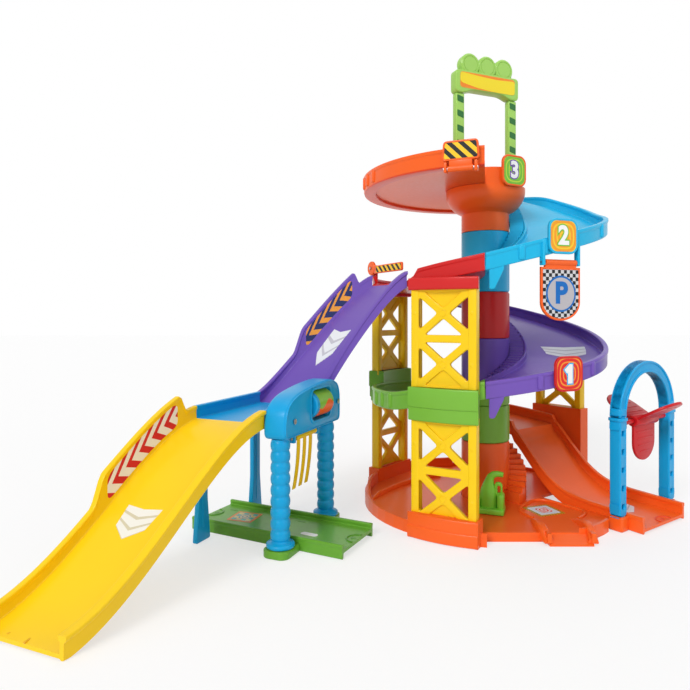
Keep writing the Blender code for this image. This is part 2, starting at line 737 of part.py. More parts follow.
def make_base():
    """Make the base deck: a low round shell with a straight front and the tower sockets."""
    hub = COLUMN_RADIUS + COLUMN_CLEARANCE
    outline = [
        (BASE_RADIUS, BASE_TOP + BASE_CURB), (BASE_RADIUS, 0.0), (BASE_RADIUS - BASE_RIM, 0.0),
        (BASE_RADIUS - BASE_RIM, BASE_TOP - BASE_SKIN), (hub + BASE_RIM, BASE_TOP - BASE_SKIN),
        (hub + BASE_RIM, 0.0), (hub, 0.0), (hub, BASE_TOP), (BASE_RADIUS - BASE_RIM, BASE_TOP),
        (BASE_RADIUS - BASE_RIM, BASE_TOP + BASE_CURB),
    ]
    mesh = turned(outline, Matrix.Identity(4), 60)
    blocks = [
        tower_block(TOWER_FRONT_ANGLE, TOWER_RADIUS, 0.0, SOCKET_TOP),
        tower_block(TOWER_BACK_ANGLE, TOWER_RADIUS, 0.0, SOCKET_TOP),
    ]
    mesh = cut(union(mesh, *blocks, base_front()), front_room())
    mesh = union(mesh, *entry_way())
    rooms = [
        tower_room(TOWER_FRONT_ANGLE, TOWER_RADIUS, SOCKET_SEAT, SOCKET_TOP + BAR),
        tower_room(TOWER_BACK_ANGLE, TOWER_RADIUS, SOCKET_SEAT, SOCKET_TOP + BAR),
    ]
    room_end = EXIT_LENGTH + EXIT_ROOM_PAST
    exit_middle = arch_place(0.0, BASE_RADIUS / 2, (EXIT_ROOM_START + room_end) / 2)
    exit_room = box((2 * SLIDE_HALF + 2 * GAP, room_end - EXIT_ROOM_START, BASE_RADIUS + 2 * MM), exit_middle)
    seat_length = ARCH_LEG + 2 * ARCH_SEAT_END
    seat_room = box((2 * (ARCH_HALF_SPAN + ARCH_LEG), seat_length + 2 * SWING_GAP, BASE_RADIUS),
                    arch_place(0.0, BASE_RADIUS / 2))
    add("base_deck", cut(mesh, exit_room, seat_room, *rooms), "orange_plastic")


def make_towers():
    """Make the lattice towers between the levels."""
    low = SOCKET_SEAT + GAP
    for name, angle in (("front", TOWER_FRONT_ANGLE), ("back", TOWER_BACK_ANGLE)):
        make_tower(f"{name}_lower_tower", angle, TOWER_RADIUS, low, GREEN_BLOCK_BOTTOM - GAP + BLOCK_SEAT)
        make_tower(f"{name}_upper_tower", angle, TOWER_RADIUS, GREEN_BLOCK_TOP + GAP - BLOCK_SEAT,
                   RED_BLOCK_BOTTOM - GAP + BLOCK_SEAT)


def make_green_landing():
    """Make level 1's landing with the blocks that hold the towers' ends."""
    rises = [(FRONT_SEAM, WALL_RISE), (LANDING_RISE_ANGLE, LANDING_RISE), (LANDING_END, LANDING_RISE)]
    mesh = ring_track(FRONT_SEAM - SEAM_GAP_ANGLE, LANDING_END + SEAM_GAP_ANGLE, GREEN_KEYS, rises)
    for angle in (TOWER_FRONT_ANGLE, TOWER_BACK_ANGLE):
        mesh = union(mesh, tower_block(angle, TOWER_RADIUS, GREEN_BLOCK_BOTTOM, GREEN_BLOCK_TOP))
        lower = tower_room(angle, TOWER_RADIUS, GREEN_BLOCK_BOTTOM - BAR, GREEN_BLOCK_BOTTOM + BLOCK_SEAT)
        upper = tower_room(angle, TOWER_RADIUS, GREEN_BLOCK_TOP - BLOCK_SEAT, GREEN_BLOCK_TOP + BAR)
        mesh = cut(mesh, lower, upper)
    add("green_landing", mesh, "green_plastic")


def make_red_landing():
    """Make level 2's landing, open in its outer wall where the ramp leaves."""
    rises = [(FRONT_SEAM, WALL_RISE), (MOUTH_START + MOUTH_FADE, WALL_RISE), (MOUTH_START, MOUTH_LIP),
             (MOUTH_END, MOUTH_LIP), (MOUTH_END - MOUTH_FADE, WALL_RISE), (LANDING_END, WALL_RISE)]
    mesh = ring_track(FRONT_SEAM - SEAM_GAP_ANGLE, LANDING_END + SEAM_GAP_ANGLE, RED_KEYS, rises, mouth_reach)
    for angle in (TOWER_FRONT_ANGLE, TOWER_BACK_ANGLE):
        mesh = union(mesh, tower_block(angle, TOWER_RADIUS, RED_BLOCK_BOTTOM, RED_BLOCK_TOP))
        seat = tower_room(angle, TOWER_RADIUS, RED_BLOCK_BOTTOM - BAR, RED_BLOCK_BOTTOM + BLOCK_SEAT)
        mesh = cut(mesh, seat)
    post, bore = make_gate_arm()
    add("red_landing", cut(union(mesh, post), bore), "red_plastic")


def slide_block_heights():
    """Return the lower and upper height of the purple spiral's block that holds the slide's tower."""
    top = along_keys(TOWER_SLIDE_ANGLE, PURPLE_KEYS) - WALL_DROP + SLIDE_BLOCK_ROOT
    return top - SLIDE_BLOCK_HEIGHT, top


def make_spirals():
    """Make the blue and purple spirals."""
    block_low, block_top = slide_block_heights()
    blue = ring_track(DECK_END - SEAM_GAP_ANGLE, FRONT_SEAM + SEAM_GAP_ANGLE, BLUE_KEYS)
    ears, bore = make_parking_sign()
    bowl_room = cylinder(BOWL_RADIUS + GAP, 2 * (DECK_FLOOR - NECK_TOP),
                         Matrix.Translation((0, 0, DECK_FLOOR)), 48)
    add("blue_spiral", cut(union(blue, *ears), bore, bowl_room), "blue_plastic")
    purple = ring_track(LANDING_END + 360.0 - SEAM_GAP_ANGLE, FRONT_SEAM + SEAM_GAP_ANGLE, PURPLE_KEYS)
    block = tower_block(TOWER_SLIDE_ANGLE, TOWER_SLIDE_RADIUS, block_low, block_top, SLIDE_BLOCK_DEPTH)
    seat = tower_room(TOWER_SLIDE_ANGLE, TOWER_SLIDE_RADIUS, block_low - BAR, block_low + BLOCK_SEAT)
    add("purple_spiral", cut(union(purple, block), seat), "purple_plastic")


def make_deck():
    """Make the top deck and the bowl that flares from the column to carry it."""
    keys = [(FRONT_SEAM, DECK_FLOOR), (DECK_END, DECK_FLOOR)]
    mesh = ring_track(FRONT_SEAM - SEAM_GAP_ANGLE, DECK_END - 360.0 + SEAM_GAP_ANGLE, keys, None,
                      lambda angle: DECK_OUTER)
    ears, bore = make_top_gate()
    add("top_deck", cut(union(mesh, *ears), bore), "orange_plastic")
    under = DECK_FLOOR - FLOOR_THICKNESS - GAP
    inner = COLUMN_RADIUS - COLUMN_WALL
    outline = [
        (BOWL_RADIUS, under), (BOWL_RADIUS, under - BOWL_LIP),
        (0.5 * (BOWL_RADIUS + COLUMN_RADIUS), NECK_TOP + BOWL_SHOULDER),
        (COLUMN_RADIUS, NECK_TOP), (COLUMN_RADIUS, BLUE_TOP + GAP), (inner, BLUE_TOP + GAP), (inner, under),
    ]
    add("deck_bowl", turned(outline, Matrix.Identity(4)), "orange_plastic")


def stair_band():
    """Return the band for the steps between the column and the slide's inner wall."""
    hub = COLUMN_RADIUS + COLUMN_CLEARANCE
    rim = TRACK_INNER + TRACK_WALL / 2
    sections = []
    low = -FLOOR_THICKNESS + FOOT_LIFT
    for angle in steps(LANDING_END + 360.0 - 2 * SEAM_GAP_ANGLE, SLIDE_LEAVE_ANGLE + 1.0):
        floor = along_keys(angle, SLIDE_KEYS)
        outline = [(hub, low), (rim, low), (rim, 0.5 * CURB_RISE), (hub, 0.5 * CURB_RISE)]
        sections.append([polar(radius, angle, floor + v) for radius, v in outline])
    return loft(sections)


def make_slide():
    """Make the slide round the back and the straight exit road it runs into."""
    sections = []
    for angle in steps(LANDING_END + 360.0 - SEAM_GAP_ANGLE, SLIDE_LEAVE_ANGLE):
        near = polar(TRACK_INNER, angle)
        far = polar(TRACK_OUTER, angle)
        sections.append(trough(near, far, along_keys(angle, SLIDE_KEYS)))
    travel = heading(SLIDE_LEAVE_ANGLE - 90.0)
    keys = [(0.0, SLIDE_FOOT), *EXIT_KEYS, (EXIT_LENGTH, EXIT_FLOOR)]
    for distance in steps(0.0, EXIT_LENGTH, EXIT_STEP)[1:]:
        near = polar(TRACK_INNER, SLIDE_LEAVE_ANGLE) + travel * distance
        far = polar(TRACK_OUTER, SLIDE_LEAVE_ANGLE) + travel * distance
        floor = along_keys(distance, keys)
        sections.append(trough(near, far, floor, drop=min(WALL_DROP, floor)))
    mesh = union(loft(sections), stair_band())
    for sign in (-1, 1):
        seat = arch_place(sign * (ARCH_HALF_SPAN - ARCH_SEAT_SIDE), (ARCH_FOOT + FOOT_LIFT) / 2)
        size = (ARCH_LEG + 2 * ARCH_SEAT_SIDE, ARCH_LEG + 2 * ARCH_SEAT_END, ARCH_FOOT - FOOT_LIFT)
        mesh = union(mesh, box(size, seat))
    add("orange_slide", mesh, "orange_plastic")


def bezier(points, t):
    """Return the point at t on a cubic curve of four control points."""
    s = 1.0 - t
    weights = (s ** 3, 3 * s * s * t, 3 * s * t * t, t ** 3)
    total = Vector((0, 0, 0))
    for weight, point in zip(weights, points):
        total += weight * Vector((point[0], point[1], 0.0))
    return total


def bridge_point(along, across, z=0.0):
    """Return a place on the bridge: along from leg B to A, across from the near legs to the far ones."""
    travel = heading(BRIDGE_HEADING)
    side = heading(BRIDGE_HEADING - 90.0)
    return LEG_B + travel * along + side * across + Vector((0, 0, z))


def eased(t, share):
    """Return a share of the way down at t, on a curve that is level at both ends by a share."""
    return share * t * t * (3 - 2 * t) + (1 - share) * t


def ramp_stations(panel):
    """Return the shares of a ramp's length where it has a section, with its side panel's corners."""
    return sorted({i / RAMP_SECTIONS for i in range(RAMP_SECTIONS + 1)} | {share for share, _ in panel})


def make_purple_ramp():
    """Make the ramp from level 2's mouth to the bridge."""
    start = (TRACK_OUTER + GAP) / math.cos(math.radians(MOUTH_START - MOUTH_MIDDLE))
    near_end = bridge_point(-BRIDGE_OVERHANG - GAP, DECK_NEAR)
    far_end = bridge_point(-BRIDGE_OVERHANG - GAP, DECK_NEAR + DECK_WIDTH)
    near_join = bridge_point(-NEAR_JOIN, DECK_NEAR + NEAR_JOIN_SHIFT)
    far_join = bridge_point(-FAR_JOIN, DECK_NEAR + DECK_WIDTH)
    near = [polar(start, MOUTH_START), NEAR_LEAVE, near_join, near_end]
    far = [polar(start, MOUTH_END), FAR_LEAVE, far_join, far_end]
    top = RED_FLOOR - RAMP_STEP_DOWN
    sections = []
    for t in ramp_stations(PURPLE_PANEL):
        floor = top + (BRIDGE_FLOOR - top) * eased(t, PURPLE_EASE)
        rise = along_keys(t, PURPLE_PANEL)
        sections.append(trough(bezier(near, t), bezier(far, t), floor, WALL_RISE, rise))
    add("purple_ramp", loft(sections), "purple_plastic")


def make_yellow_ramp():
    """Make the ramp from the bridge to the floor."""
    near = bridge_point(LEG_SPACING + BRIDGE_OVERHANG + GAP, DECK_NEAR)
    far = bridge_point(LEG_SPACING + BRIDGE_OVERHANG + GAP, DECK_NEAR + DECK_WIDTH)
    travel = heading(YELLOW_HEADING)
    sections = []
    for t in ramp_stations(YELLOW_PANEL):
        floor = BRIDGE_FLOOR + (YELLOW_END_FLOOR - BRIDGE_FLOOR) * eased(t, YELLOW_EASE)
        move = travel * YELLOW_LENGTH * t
        sections.append(trough(near + move, far + move, floor, WALL_RISE, along_keys(t, YELLOW_PANEL),
                               min(WALL_DROP, floor)))
    add("yellow_ramp", loft(sections), "yellow_plastic")


def bridge_place(along, across, z):
    """Return a frame on the bridge: X along it from leg B to A, Y to the near side, Z up."""
    travel = heading(BRIDGE_HEADING)
    near = -heading(BRIDGE_HEADING - 90.0)
    frame = Matrix((travel, near, Vector((0, 0, 1)))).transposed().to_4x4()
    return Matrix.Translation(bridge_point(along, across, z)) @ frame


def along_bridge(frame):
    """Return a frame turned so that its Z runs along the bridge."""
    return frame @ Matrix.Rotation(math.radians(90), 4, "Y")


def make_bridge():
    """Make the bridge deck and its four legs."""
    stations = (-BRIDGE_OVERHANG, LEG_SPACING / 2, LEG_SPACING + BRIDGE_OVERHANG)
    sections = [trough(bridge_point(s, DECK_NEAR), bridge_point(s, DECK_NEAR + DECK_WIDTH), BRIDGE_FLOOR)
                for s in stations]
    add("bridge_deck", loft(sections), "bridge_blue_plastic")
    for name, along in (("back", 0.0), ("front", LEG_SPACING)):
        add(f"near_{name}_leg", ribbed_leg(bridge_place(along, 0.0, 0.0)), "bridge_blue_plastic")
        add(f"far_{name}_leg", flat_leg(along), "bridge_blue_plastic")


def ribbed_leg(frame):
    """Return a near leg: a column of soft ribs on a flange."""
    bottom = TAB_TOP + GAP
    top = HOUSING_BOTTOM - GAP
    outline = [(LEG_FLANGE_RADIUS, bottom), (0.0, bottom), (0.0, top), (LEG_RADIUS, top)]
    pitch = (top - bottom - LEG_NECK) / LEG_RIBS
    for rib in range(LEG_RIBS):
        high = top - rib * pitch
        outline.append((LEG_RADIUS + LEG_RIB, high - 0.6 * pitch))
        outline.append((LEG_RADIUS, high - pitch))
    outline.append((LEG_FLANGE_RADIUS, bottom + LEG_FLANGE))
    return turned(outline, frame, 18)


def flat_leg(along):
    """Return a far leg: a flat plate that spreads towards its foot."""
    top = BRIDGE_FLOOR - WALL_DROP - GAP
    half = FAR_LEG_WIDTH / 2
    foot = FAR_FOOT_WIDTH / 2
    outline = [(-foot, 0.0), (foot, 0.0), (half, FAR_FOOT_HEIGHT), (half, top), (-half, top),
               (-half, FAR_FOOT_HEIGHT)]
    frame = bridge_place(along, DECK_NEAR + DECK_WIDTH - FAR_LEG_THICKNESS / 2, 0.0)
    return plate([outline], FAR_LEG_THICKNESS, frame @ Matrix.Rotation(math.radians(90), 4, "X"))


def make_housing():
    """Make the car wash: its housing, roller with pin, and the strips on their rail."""
    outline = [(x * MM, HOUSING_BOTTOM + z * MM) for x, z in HOUSING_OUTLINE]
    flat = Matrix.Rotation(math.radians(90), 4, "X")
    shell = plate([outline], HOUSING_DEPTH, bridge_place(0.0, 0.0, 0.0) @ flat)
    middle = bridge_place(ROLLER_ALONG, ROLLER_ACROSS, ROLLER_HEIGHT)
    room_height = 2 * (ROLLER_RADIUS + ROLLER_ROOM)
    room = box((ROLLER_LENGTH + 2 * ROLLER_ROOM, 3 * HOUSING_DEPTH, room_height), middle)
    pin_length = ROLLER_LENGTH + 2 * (ROLLER_ROOM + ROLLER_PIN_SEAT)
    bore = cylinder(AXLE_RADIUS + PIN_GAP, pin_length + 2 * GAP, along_bridge(middle), 16)
    rail_middle = bridge_place(LEG_SPACING / 2, 0.0, HOUSING_BOTTOM - RAIL_HANGER / 2)
    span = STRIP_COUNT * STRIP_PITCH + 2 * HANGER_ROOM
    hangers = []
    for sign in (-1, 1):
        hanger = Matrix.Translation((sign * (span + HANGER_WIDTH) / 2, 0, 0))
        hangers.append(box((HANGER_WIDTH, HANGER_DEPTH, RAIL_HANGER + HANGER_ROOT), rail_middle @ hanger))
    rail_axis = bridge_place(LEG_SPACING / 2, 0.0, HOUSING_BOTTOM - RAIL_DROP)
    rail_length = span + 2 * HANGER_WIDTH
    rail_bore = cylinder(RAIL_PIN_RADIUS + PIN_GAP, 2 * rail_length, along_bridge(rail_axis), 12)
    shell = cut(union(cut(shell, room), *hangers), bore, rail_bore)
    add("wash_housing", shell, "bridge_blue_plastic")
    add("roller_pin", cylinder(AXLE_RADIUS, pin_length, along_bridge(middle), 16), "steel")
    roller = cut(cylinder(ROLLER_RADIUS, ROLLER_LENGTH, along_bridge(middle), 28),
                 cylinder(AXLE_RADIUS + PIN_GAP, 2 * ROLLER_LENGTH, along_bridge(middle), 16))
    add("wash_roller", roller, "green_plastic", middle.translation)
    add("strip_rail", cylinder(RAIL_PIN_RADIUS, rail_length, along_bridge(rail_axis), 12), "steel")
    sleeve_radius = RAIL_PIN_RADIUS + PIN_GAP + SLEEVE_WALL
    sleeve = cylinder(sleeve_radius, span - 2 * SWING_GAP, along_bridge(rail_axis), 16)
    strips = []
    for number in range(STRIP_COUNT):
        shift = (number - (STRIP_COUNT - 1) / 2) * STRIP_PITCH
        drop = Matrix.Translation((shift, 0, -STRIP_LENGTH / 2 - RAIL_PIN_RADIUS))
        strips.append(box((STRIP_WIDTH, STRIP_THICKNESS, STRIP_LENGTH), rail_axis @ drop))
    pin_room = cylinder(RAIL_PIN_RADIUS + PIN_GAP, 2 * rail_length, along_bridge(rail_axis), 12)
    curtain = cut(union(sleeve, *strips), pin_room)
    add("wash_strips", curtain, "yellow_plastic", rail_axis.translation)
    face = Matrix.Rotation(math.radians(90), 4, "X")
    for name, along, z in SCREW_PLACES:
        place = bridge_place(along, -(HOUSING_DEPTH / 2 + GAP + SCREW_HEAD / 2), z)
        add(f"{name}_housing_screw", cylinder(SCREW_RADIUS, SCREW_HEAD, place @ face, 16), "steel")


def make_green_road():
    """Make the road under the bridge with the tabs that its near legs stand on."""
    middle = bridge_point(LEG_SPACING / 2, ROAD_ACROSS)
    travel = heading(ROAD_HEADING)
    side = heading(ROAD_HEADING + 90.0)
    sections = []
    for distance in (-ROAD_LENGTH / 2, 0.0, ROAD_LENGTH / 2):
        centre = middle + travel * distance
        sections.append(trough(centre - side * ROAD_HALF, centre + side * ROAD_HALF, ROAD_FLOOR,
                               ROAD_RISE, ROAD_RISE, ROAD_FLOOR))
    mesh = loft(sections)
    for along, sign in ((0.0, -1), (LEG_SPACING, 1)):
        tab = box((TAB_LENGTH, TAB_WIDTH, TAB_TOP - FOOT_LIFT),
                  bridge_place(along - sign * TAB_SHIFT, 0.0, (TAB_TOP + FOOT_LIFT) / 2))
        mesh = union(mesh, tab)
    add("green_road", mesh, "green_plastic")


def arch_place(across, z, along=ARCH_ALONG):
    """Return a frame at the arch: X across the road, Y along it, Z up."""
    travel = heading(SLIDE_LEAVE_ANGLE - 90.0)
    side = heading(SLIDE_LEAVE_ANGLE)
    origin = polar(SLIDE_MIDDLE, SLIDE_LEAVE_ANGLE, z) + travel * along + side * across
    frame = Matrix((side, -travel, Vector((0, 0, 1)))).transposed().to_4x4()
    return Matrix.Translation(origin) @ frame


def arc(radius, start, end, count):
    """Return points on an arc."""
    return [(radius * math.cos(math.radians(a)), radius * math.sin(math.radians(a)))
            for a in (start + (end - start) * i / count for i in range(count + 1))]


def blade_outline():
    """Return a paddle blade's outline, hanging from the hub down to its round end."""
    half = SPINNER_WIDTH / 2 - BLADE_SIDE
    root = BLADE_ROOT - HUB_RADIUS
    straight = BLADE_ROUND - SPINNER_RADIUS
    curve = arc(half, 180, 360, 12)
    return [(half, root), (-half, root)] + [(x, straight + y * BLADE_ROUND / half) for x, y in curve]


def make_arch():
    """Make the arch over the exit road and the paddle that a car turns."""
    turn = Matrix.Rotation(math.radians(90), 4, "Y")
    axle_length = 2 * ARCH_HALF_SPAN + ARCH_LEG - 2 * AXLE_END
    bore = cylinder(AXLE_RADIUS + PIN_GAP, axle_length + 2 * GAP, arch_place(0.0, SPINNER_HEIGHT) @ turn, 20)
    for name, sign in (("near", -1), ("far", 1)):
        low = ARCH_FOOT + GAP
        height = ARCH_LEG_TOP - low
        leg = box((ARCH_LEG, ARCH_LEG, height), arch_place(sign * ARCH_HALF_SPAN, low + height / 2))
        collar_middle = arch_place(sign * ARCH_HALF_SPAN, ARCH_LEG_TOP - FOOT_LIFT - ARCH_COLLAR_HEIGHT / 2)
        leg = union(leg, box((ARCH_COLLAR, ARCH_COLLAR, ARCH_COLLAR_HEIGHT), collar_middle))
        holes = []
        for number in range(ARCH_HOLES):
            z = ARCH_FOOT + ARCH_HOLE_FIRST + number * ARCH_HOLE_PITCH
            holes.append(box((ARCH_HOLE, 2 * ARCH_LEG, ARCH_HOLE), arch_place(sign * ARCH_HALF_SPAN, z)))
        add(f"{name}_arch_leg", cut(leg, bore, *holes), "bridge_blue_plastic")
    outer = ARCH_HALF_SPAN + ARCH_RING_WIDTH / 2
    inner = ARCH_HALF_SPAN - ARCH_RING_WIDTH / 2
    outline = arc(outer, 0, 180, 24) + arc(inner, 180, 0, 24)
    upright = arch_place(0.0, ARCH_LEG_TOP + GAP) @ Matrix.Rotation(math.radians(90), 4, "X")
    add("arch_ring", plate([outline], ARCH_LEG, upright), "bridge_blue_plastic")
    middle = arch_place(0.0, SPINNER_HEIGHT)
    add("spinner_axle", cylinder(AXLE_RADIUS, axle_length, middle @ turn, 20), "spinner_red_plastic",
        middle.translation)
    paddle = cylinder(HUB_RADIUS, SPINNER_WIDTH, middle @ turn, 24)
    flat = Matrix.Rotation(math.radians(90), 4, "X")
    for number in range(SPINNER_BLADES):
        spin = Matrix.Rotation(math.tau * number / SPINNER_BLADES, 4, "X")
        paddle = union(paddle, plate([blade_outline()], BLADE_THICKNESS, middle @ spin @ flat))
    paddle = cut(paddle, cylinder(AXLE_RADIUS + PIN_GAP, 2 * SPINNER_WIDTH, middle @ turn, 20))
    add("spinner", paddle, "spinner_red_plastic", middle.translation)


def rounded(width, height, corner, count=4):
    """Return a rectangle's outline with round corners, centred."""
    x = width / 2 - corner
    y = height / 2 - corner
    points = []
    for cx, cy, start in ((x, y, 0), (-x, y, 90), (-x, -y, 180), (x, -y, 270)):
        points += [(cx + px, cy + py) for px, py in arc(corner, start, start + 90, count)]
    return points


def make_badges():
    """Make the numbered level badges."""
    outline = rounded(2 * BADGE_RADIUS, 2 * BADGE_RADIUS, BADGE_CORNER)
    for name, angle, radius, z in BADGE_PLACES:
        frame = wall_frame(angle, radius + GAP + BADGE_DEPTH / 2, z)
        add(name, plate([outline], BADGE_DEPTH, frame), "orange_plastic")


def hinge_ears(frame, span):
    """Return the two ears that hold the parking sign's pin along a frame's X, reaching along its Y."""
    ears = []
    for sign in (-1, 1):
        centre = Matrix.Translation((sign * (span + EAR_WIDTH) / 2, EAR_REACH / 2 - EAR_BELOW, 0))
        ears.append(box((EAR_WIDTH, EAR_REACH, EAR_DEPTH), frame @ centre))
    return ears


def parking_outline():
    """Return the parking sign's outline, from its hinge line down to its round end."""
    half = PARKING_WIDTH / 2
    neck = half - PARKING_NECK
    low = PARKING_ROUND - PARKING_HEIGHT
    outline = [(half, -PARKING_SHOULDER), (neck, -PARKING_SHOULDER), (neck, 0.0), (-neck, 0.0),
               (-neck, -PARKING_SHOULDER), (-half, -PARKING_SHOULDER), (-half, low)]
    curve = arc(half, 180, 360, 12)[1:]
    return outline + [(x, low + y * PARKING_ROUND / half) for x, y in curve]


def make_parking_sign():
    """Make the parking sign that swings from the blue spiral, and return its ears and bore."""
    hinge = along_keys(PARKING_ANGLE, BLUE_KEYS) - PARKING_DROP
    frame = wall_frame(PARKING_ANGLE, TRACK_OUTER - PARKING_INSET, hinge)
    turn = Matrix.Rotation(math.radians(90), 4, "Y")
    panel = plate([parking_outline()], PARKING_DEPTH, frame)
    length = PARKING_WIDTH - 2 * BARREL_INSET
    barrel = cylinder(BARREL_RADIUS, length, frame @ turn, 16)
    bore = cylinder(HINGE_RADIUS + PIN_GAP, 2 * PARKING_WIDTH, frame @ turn, 12)
    add("parking_sign", cut(union(panel, barrel), bore), "orange_plastic", frame.translation)
    pin = cylinder(HINGE_RADIUS, PARKING_WIDTH - 2 * PIN_INSET, frame @ turn, 12)
    add("parking_sign_pin", pin, "steel")
    return hinge_ears(frame, length + 2 * SWING_GAP), bore


def make_top_gate():
    """Make the hazard gate on the deck's front wall with its pin, and return its ears and bore."""
    frame = wall_frame(GATE_ANGLE, DECK_OUTER + GATE_OUT, GATE_HINGE)
    turn = Matrix.Rotation(math.radians(90), 4, "Y")
    leaf_middle = GATE_NECK_HEIGHT + GATE_HEIGHT / 2 - GATE_EAR_SHIFT
    leaf = box((GATE_WIDTH, GATE_HEIGHT, GATE_DEPTH), frame @ Matrix.Translation((0, leaf_middle, 0)))
    neck = box((GATE_NECK_WIDTH, GATE_NECK_HEIGHT, GATE_NECK_DEPTH),
               frame @ Matrix.Translation((0, GATE_NECK_HEIGHT / 2, 0)))
    barrel = cylinder(BARREL_RADIUS, GATE_BARREL, frame @ turn, 16)
    bore = cylinder(HINGE_RADIUS + PIN_GAP, 2 * GATE_PIN, frame @ turn, 12)
    add("top_gate", cut(union(leaf, neck, barrel), bore), "orange_plastic", frame.translation)
    add("top_gate_pin", cylinder(HINGE_RADIUS, GATE_PIN, frame @ turn, 12), "steel")
    ears = []
    for sign in (-1, 1):
        place = Matrix.Translation((sign * GATE_EAR_SPAN, GATE_EAR_SHIFT, -GATE_EAR_SHIFT))
        ears.append(box((EAR_WIDTH, GATE_EAR_HEIGHT, GATE_EAR_DEPTH), frame @ place))
    return ears, bore


def make_gate_arm():
    """Make the barrier across level 2's ramp mouth with its pin, and return its post and bore."""
    across = (polar(TRACK_OUTER, MOUTH_START) - polar(TRACK_OUTER, MOUTH_END)).normalized()
    pivot = polar(TRACK_OUTER - TRACK_WALL / 2, MOUTH_END - ARM_ANGLE, RED_FLOOR + WALL_RISE + ARM_LIFT)
    turn = Matrix((across, Vector((0, 0, 1)), heading(MOUTH_MIDDLE))).transposed().to_4x4()
    frame = Matrix.Translation(pivot) @ turn
    arm_frame = frame @ Matrix.Translation((0, 0, TRACK_WALL / 2 + ARM_OUT))
    disc = cylinder(ARM_DISC, ARM_DISC_DEPTH, arm_frame, 24)
    bar_middle = Matrix.Translation((ARM_START + ARM_LENGTH / 2, -ARM_BELOW, 0))
    bar = box((ARM_LENGTH, ARM_HEIGHT, ARM_DEPTH), arm_frame @ bar_middle)
    bore = cylinder(HINGE_RADIUS + PIN_GAP, 4 * ARM_PIN, frame, 12)
    add("gate_arm", cut(union(disc, bar), bore), "orange_plastic", pivot)
    pin_frame = frame @ Matrix.Translation((0, 0, ARM_OUT))
    add("gate_arm_pin", cylinder(HINGE_RADIUS, ARM_PIN, pin_frame, 12), "steel")
    place = frame @ Matrix.Translation((0, -ARM_POST_BELOW, 0))
    return box((ARM_POST_WIDTH, ARM_POST_HEIGHT, TRACK_WALL), place), bore


def make_sign():
    """Make the sign arch over the column: two posts and the board with three bumps."""
    turn = Matrix.Rotation(math.radians(SIGN_HEADING), 4, "Z")
    feet = (("near", -1, DECK_FLOOR + 0.5 * CURB_RISE), ("far", 1, DECK_FLOOR - FLOOR_THICKNESS - GAP))
    for name, sign, low in feet:
        bottom = low + GAP
        height = SIGN_BOTTOM - GAP - bottom
        place = turn @ Matrix.Translation((sign * POST_HALF_SPAN, 0, bottom + height / 2))
        add(f"{name}_sign_post", box((POST_WIDTH, POST_DEPTH, height), place), "light_green_plastic")
    middle = (SIGN_BOTTOM + SIGN_TOP) / 2
    board = box((SIGN_LENGTH, SIGN_DEPTH, SIGN_TOP - SIGN_BOTTOM), turn @ Matrix.Translation((0, 0, middle)))
    bumps = []
    for number in (-1, 0, 1):
        place = turn @ Matrix.Translation((number * BUMP_PITCH, 0, SIGN_TOP + BUMP_LIFT))
        face = place @ Matrix.Rotation(math.radians(90), 4, "X")
        bumps.append(cylinder(BUMP_RADIUS, SIGN_DEPTH - 2 * BUMP_INSET, face, 24))
    add("sign_board", union(board, *bumps), "light_green_plastic")


def make_pump():
    """Make the fuel pump on the base."""
    place = facing(PUMP_PLACE + Vector((0, 0, BASE_TOP + GAP)), PUMP_TURN)
    foot, body, handle, nozzle, slot = (
        box(size, place @ Matrix.Translation(middle))
        for size, middle in (PUMP_FOOT, PUMP_BODY, PUMP_HANDLE, PUMP_NOZZLE, PUMP_SLOT))
    add("fuel_pump", cut(union(foot, body, handle, nozzle), slot), "light_green_plastic")


def make_slide_tower():
    """Make the tall socket and the lattice tower behind the slide."""
    angle = TOWER_SLIDE_ANGLE
    radius = TOWER_SLIDE_RADIUS
    socket = tower_block(angle, radius, 0.0, SLIDE_SOCKET_TOP)
    seat_bottom = SLIDE_SOCKET_TOP - SLIDE_SOCKET_SEAT
    frame = wall_frame(angle, radius, SLIDE_SOCKET_TOP / 2 - SOCKET_SEAT)
    centre = Matrix.Translation((0, 0, (TOWER_DEPTH + 2 * BLOCK_WALL - BLOCK_DEPTH) / 2))
    size = (TOWER_WIDTH - 2 * SOCKET_LEDGE, SLIDE_SOCKET_TOP - SOCKET_SEAT, BLOCK_DEPTH - 2 * BLOCK_WALL)
    hollow = box(size, frame @ centre)
    seat = tower_room(angle, radius, seat_bottom, SLIDE_SOCKET_TOP + BAR)
    add("slide_tower_socket", cut(socket, hollow, seat), "orange_plastic")
    block_low, _ = slide_block_heights()
    make_tower("slide_tower", angle, radius, seat_bottom + GAP, block_low + BLOCK_SEAT - GAP)


def main():
    """Build every piece."""
    clear_scene()
    make_column()
    make_base()
    make_towers()
    make_green_landing()
    make_red_landing()
    make_spirals()
    make_deck()
    make_slide()
    make_slide_tower()
    make_purple_ramp()
    make_yellow_ramp()
    make_bridge()
    make_housing()
    make_green_road()
    make_arch()
    make_badges()
    make_sign()
    make_pump()


main()
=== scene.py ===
"""Looks of the toy parking garage.

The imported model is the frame. Each class here is one sub-assembly: it holds its sizes, builds
the finely moulded pieces that stand for the plain solids, and adds stickers, steps and ribs.
All of them work in millimetres and degrees; a piece is scaled to metres when it is linked.
"""

from __future__ import annotations

import json
import logging
import math
from dataclasses import dataclass
from enum import Enum
from typing import Callable, Iterable, Sequence

import bmesh
import bpy
from mathutils import Matrix, Vector

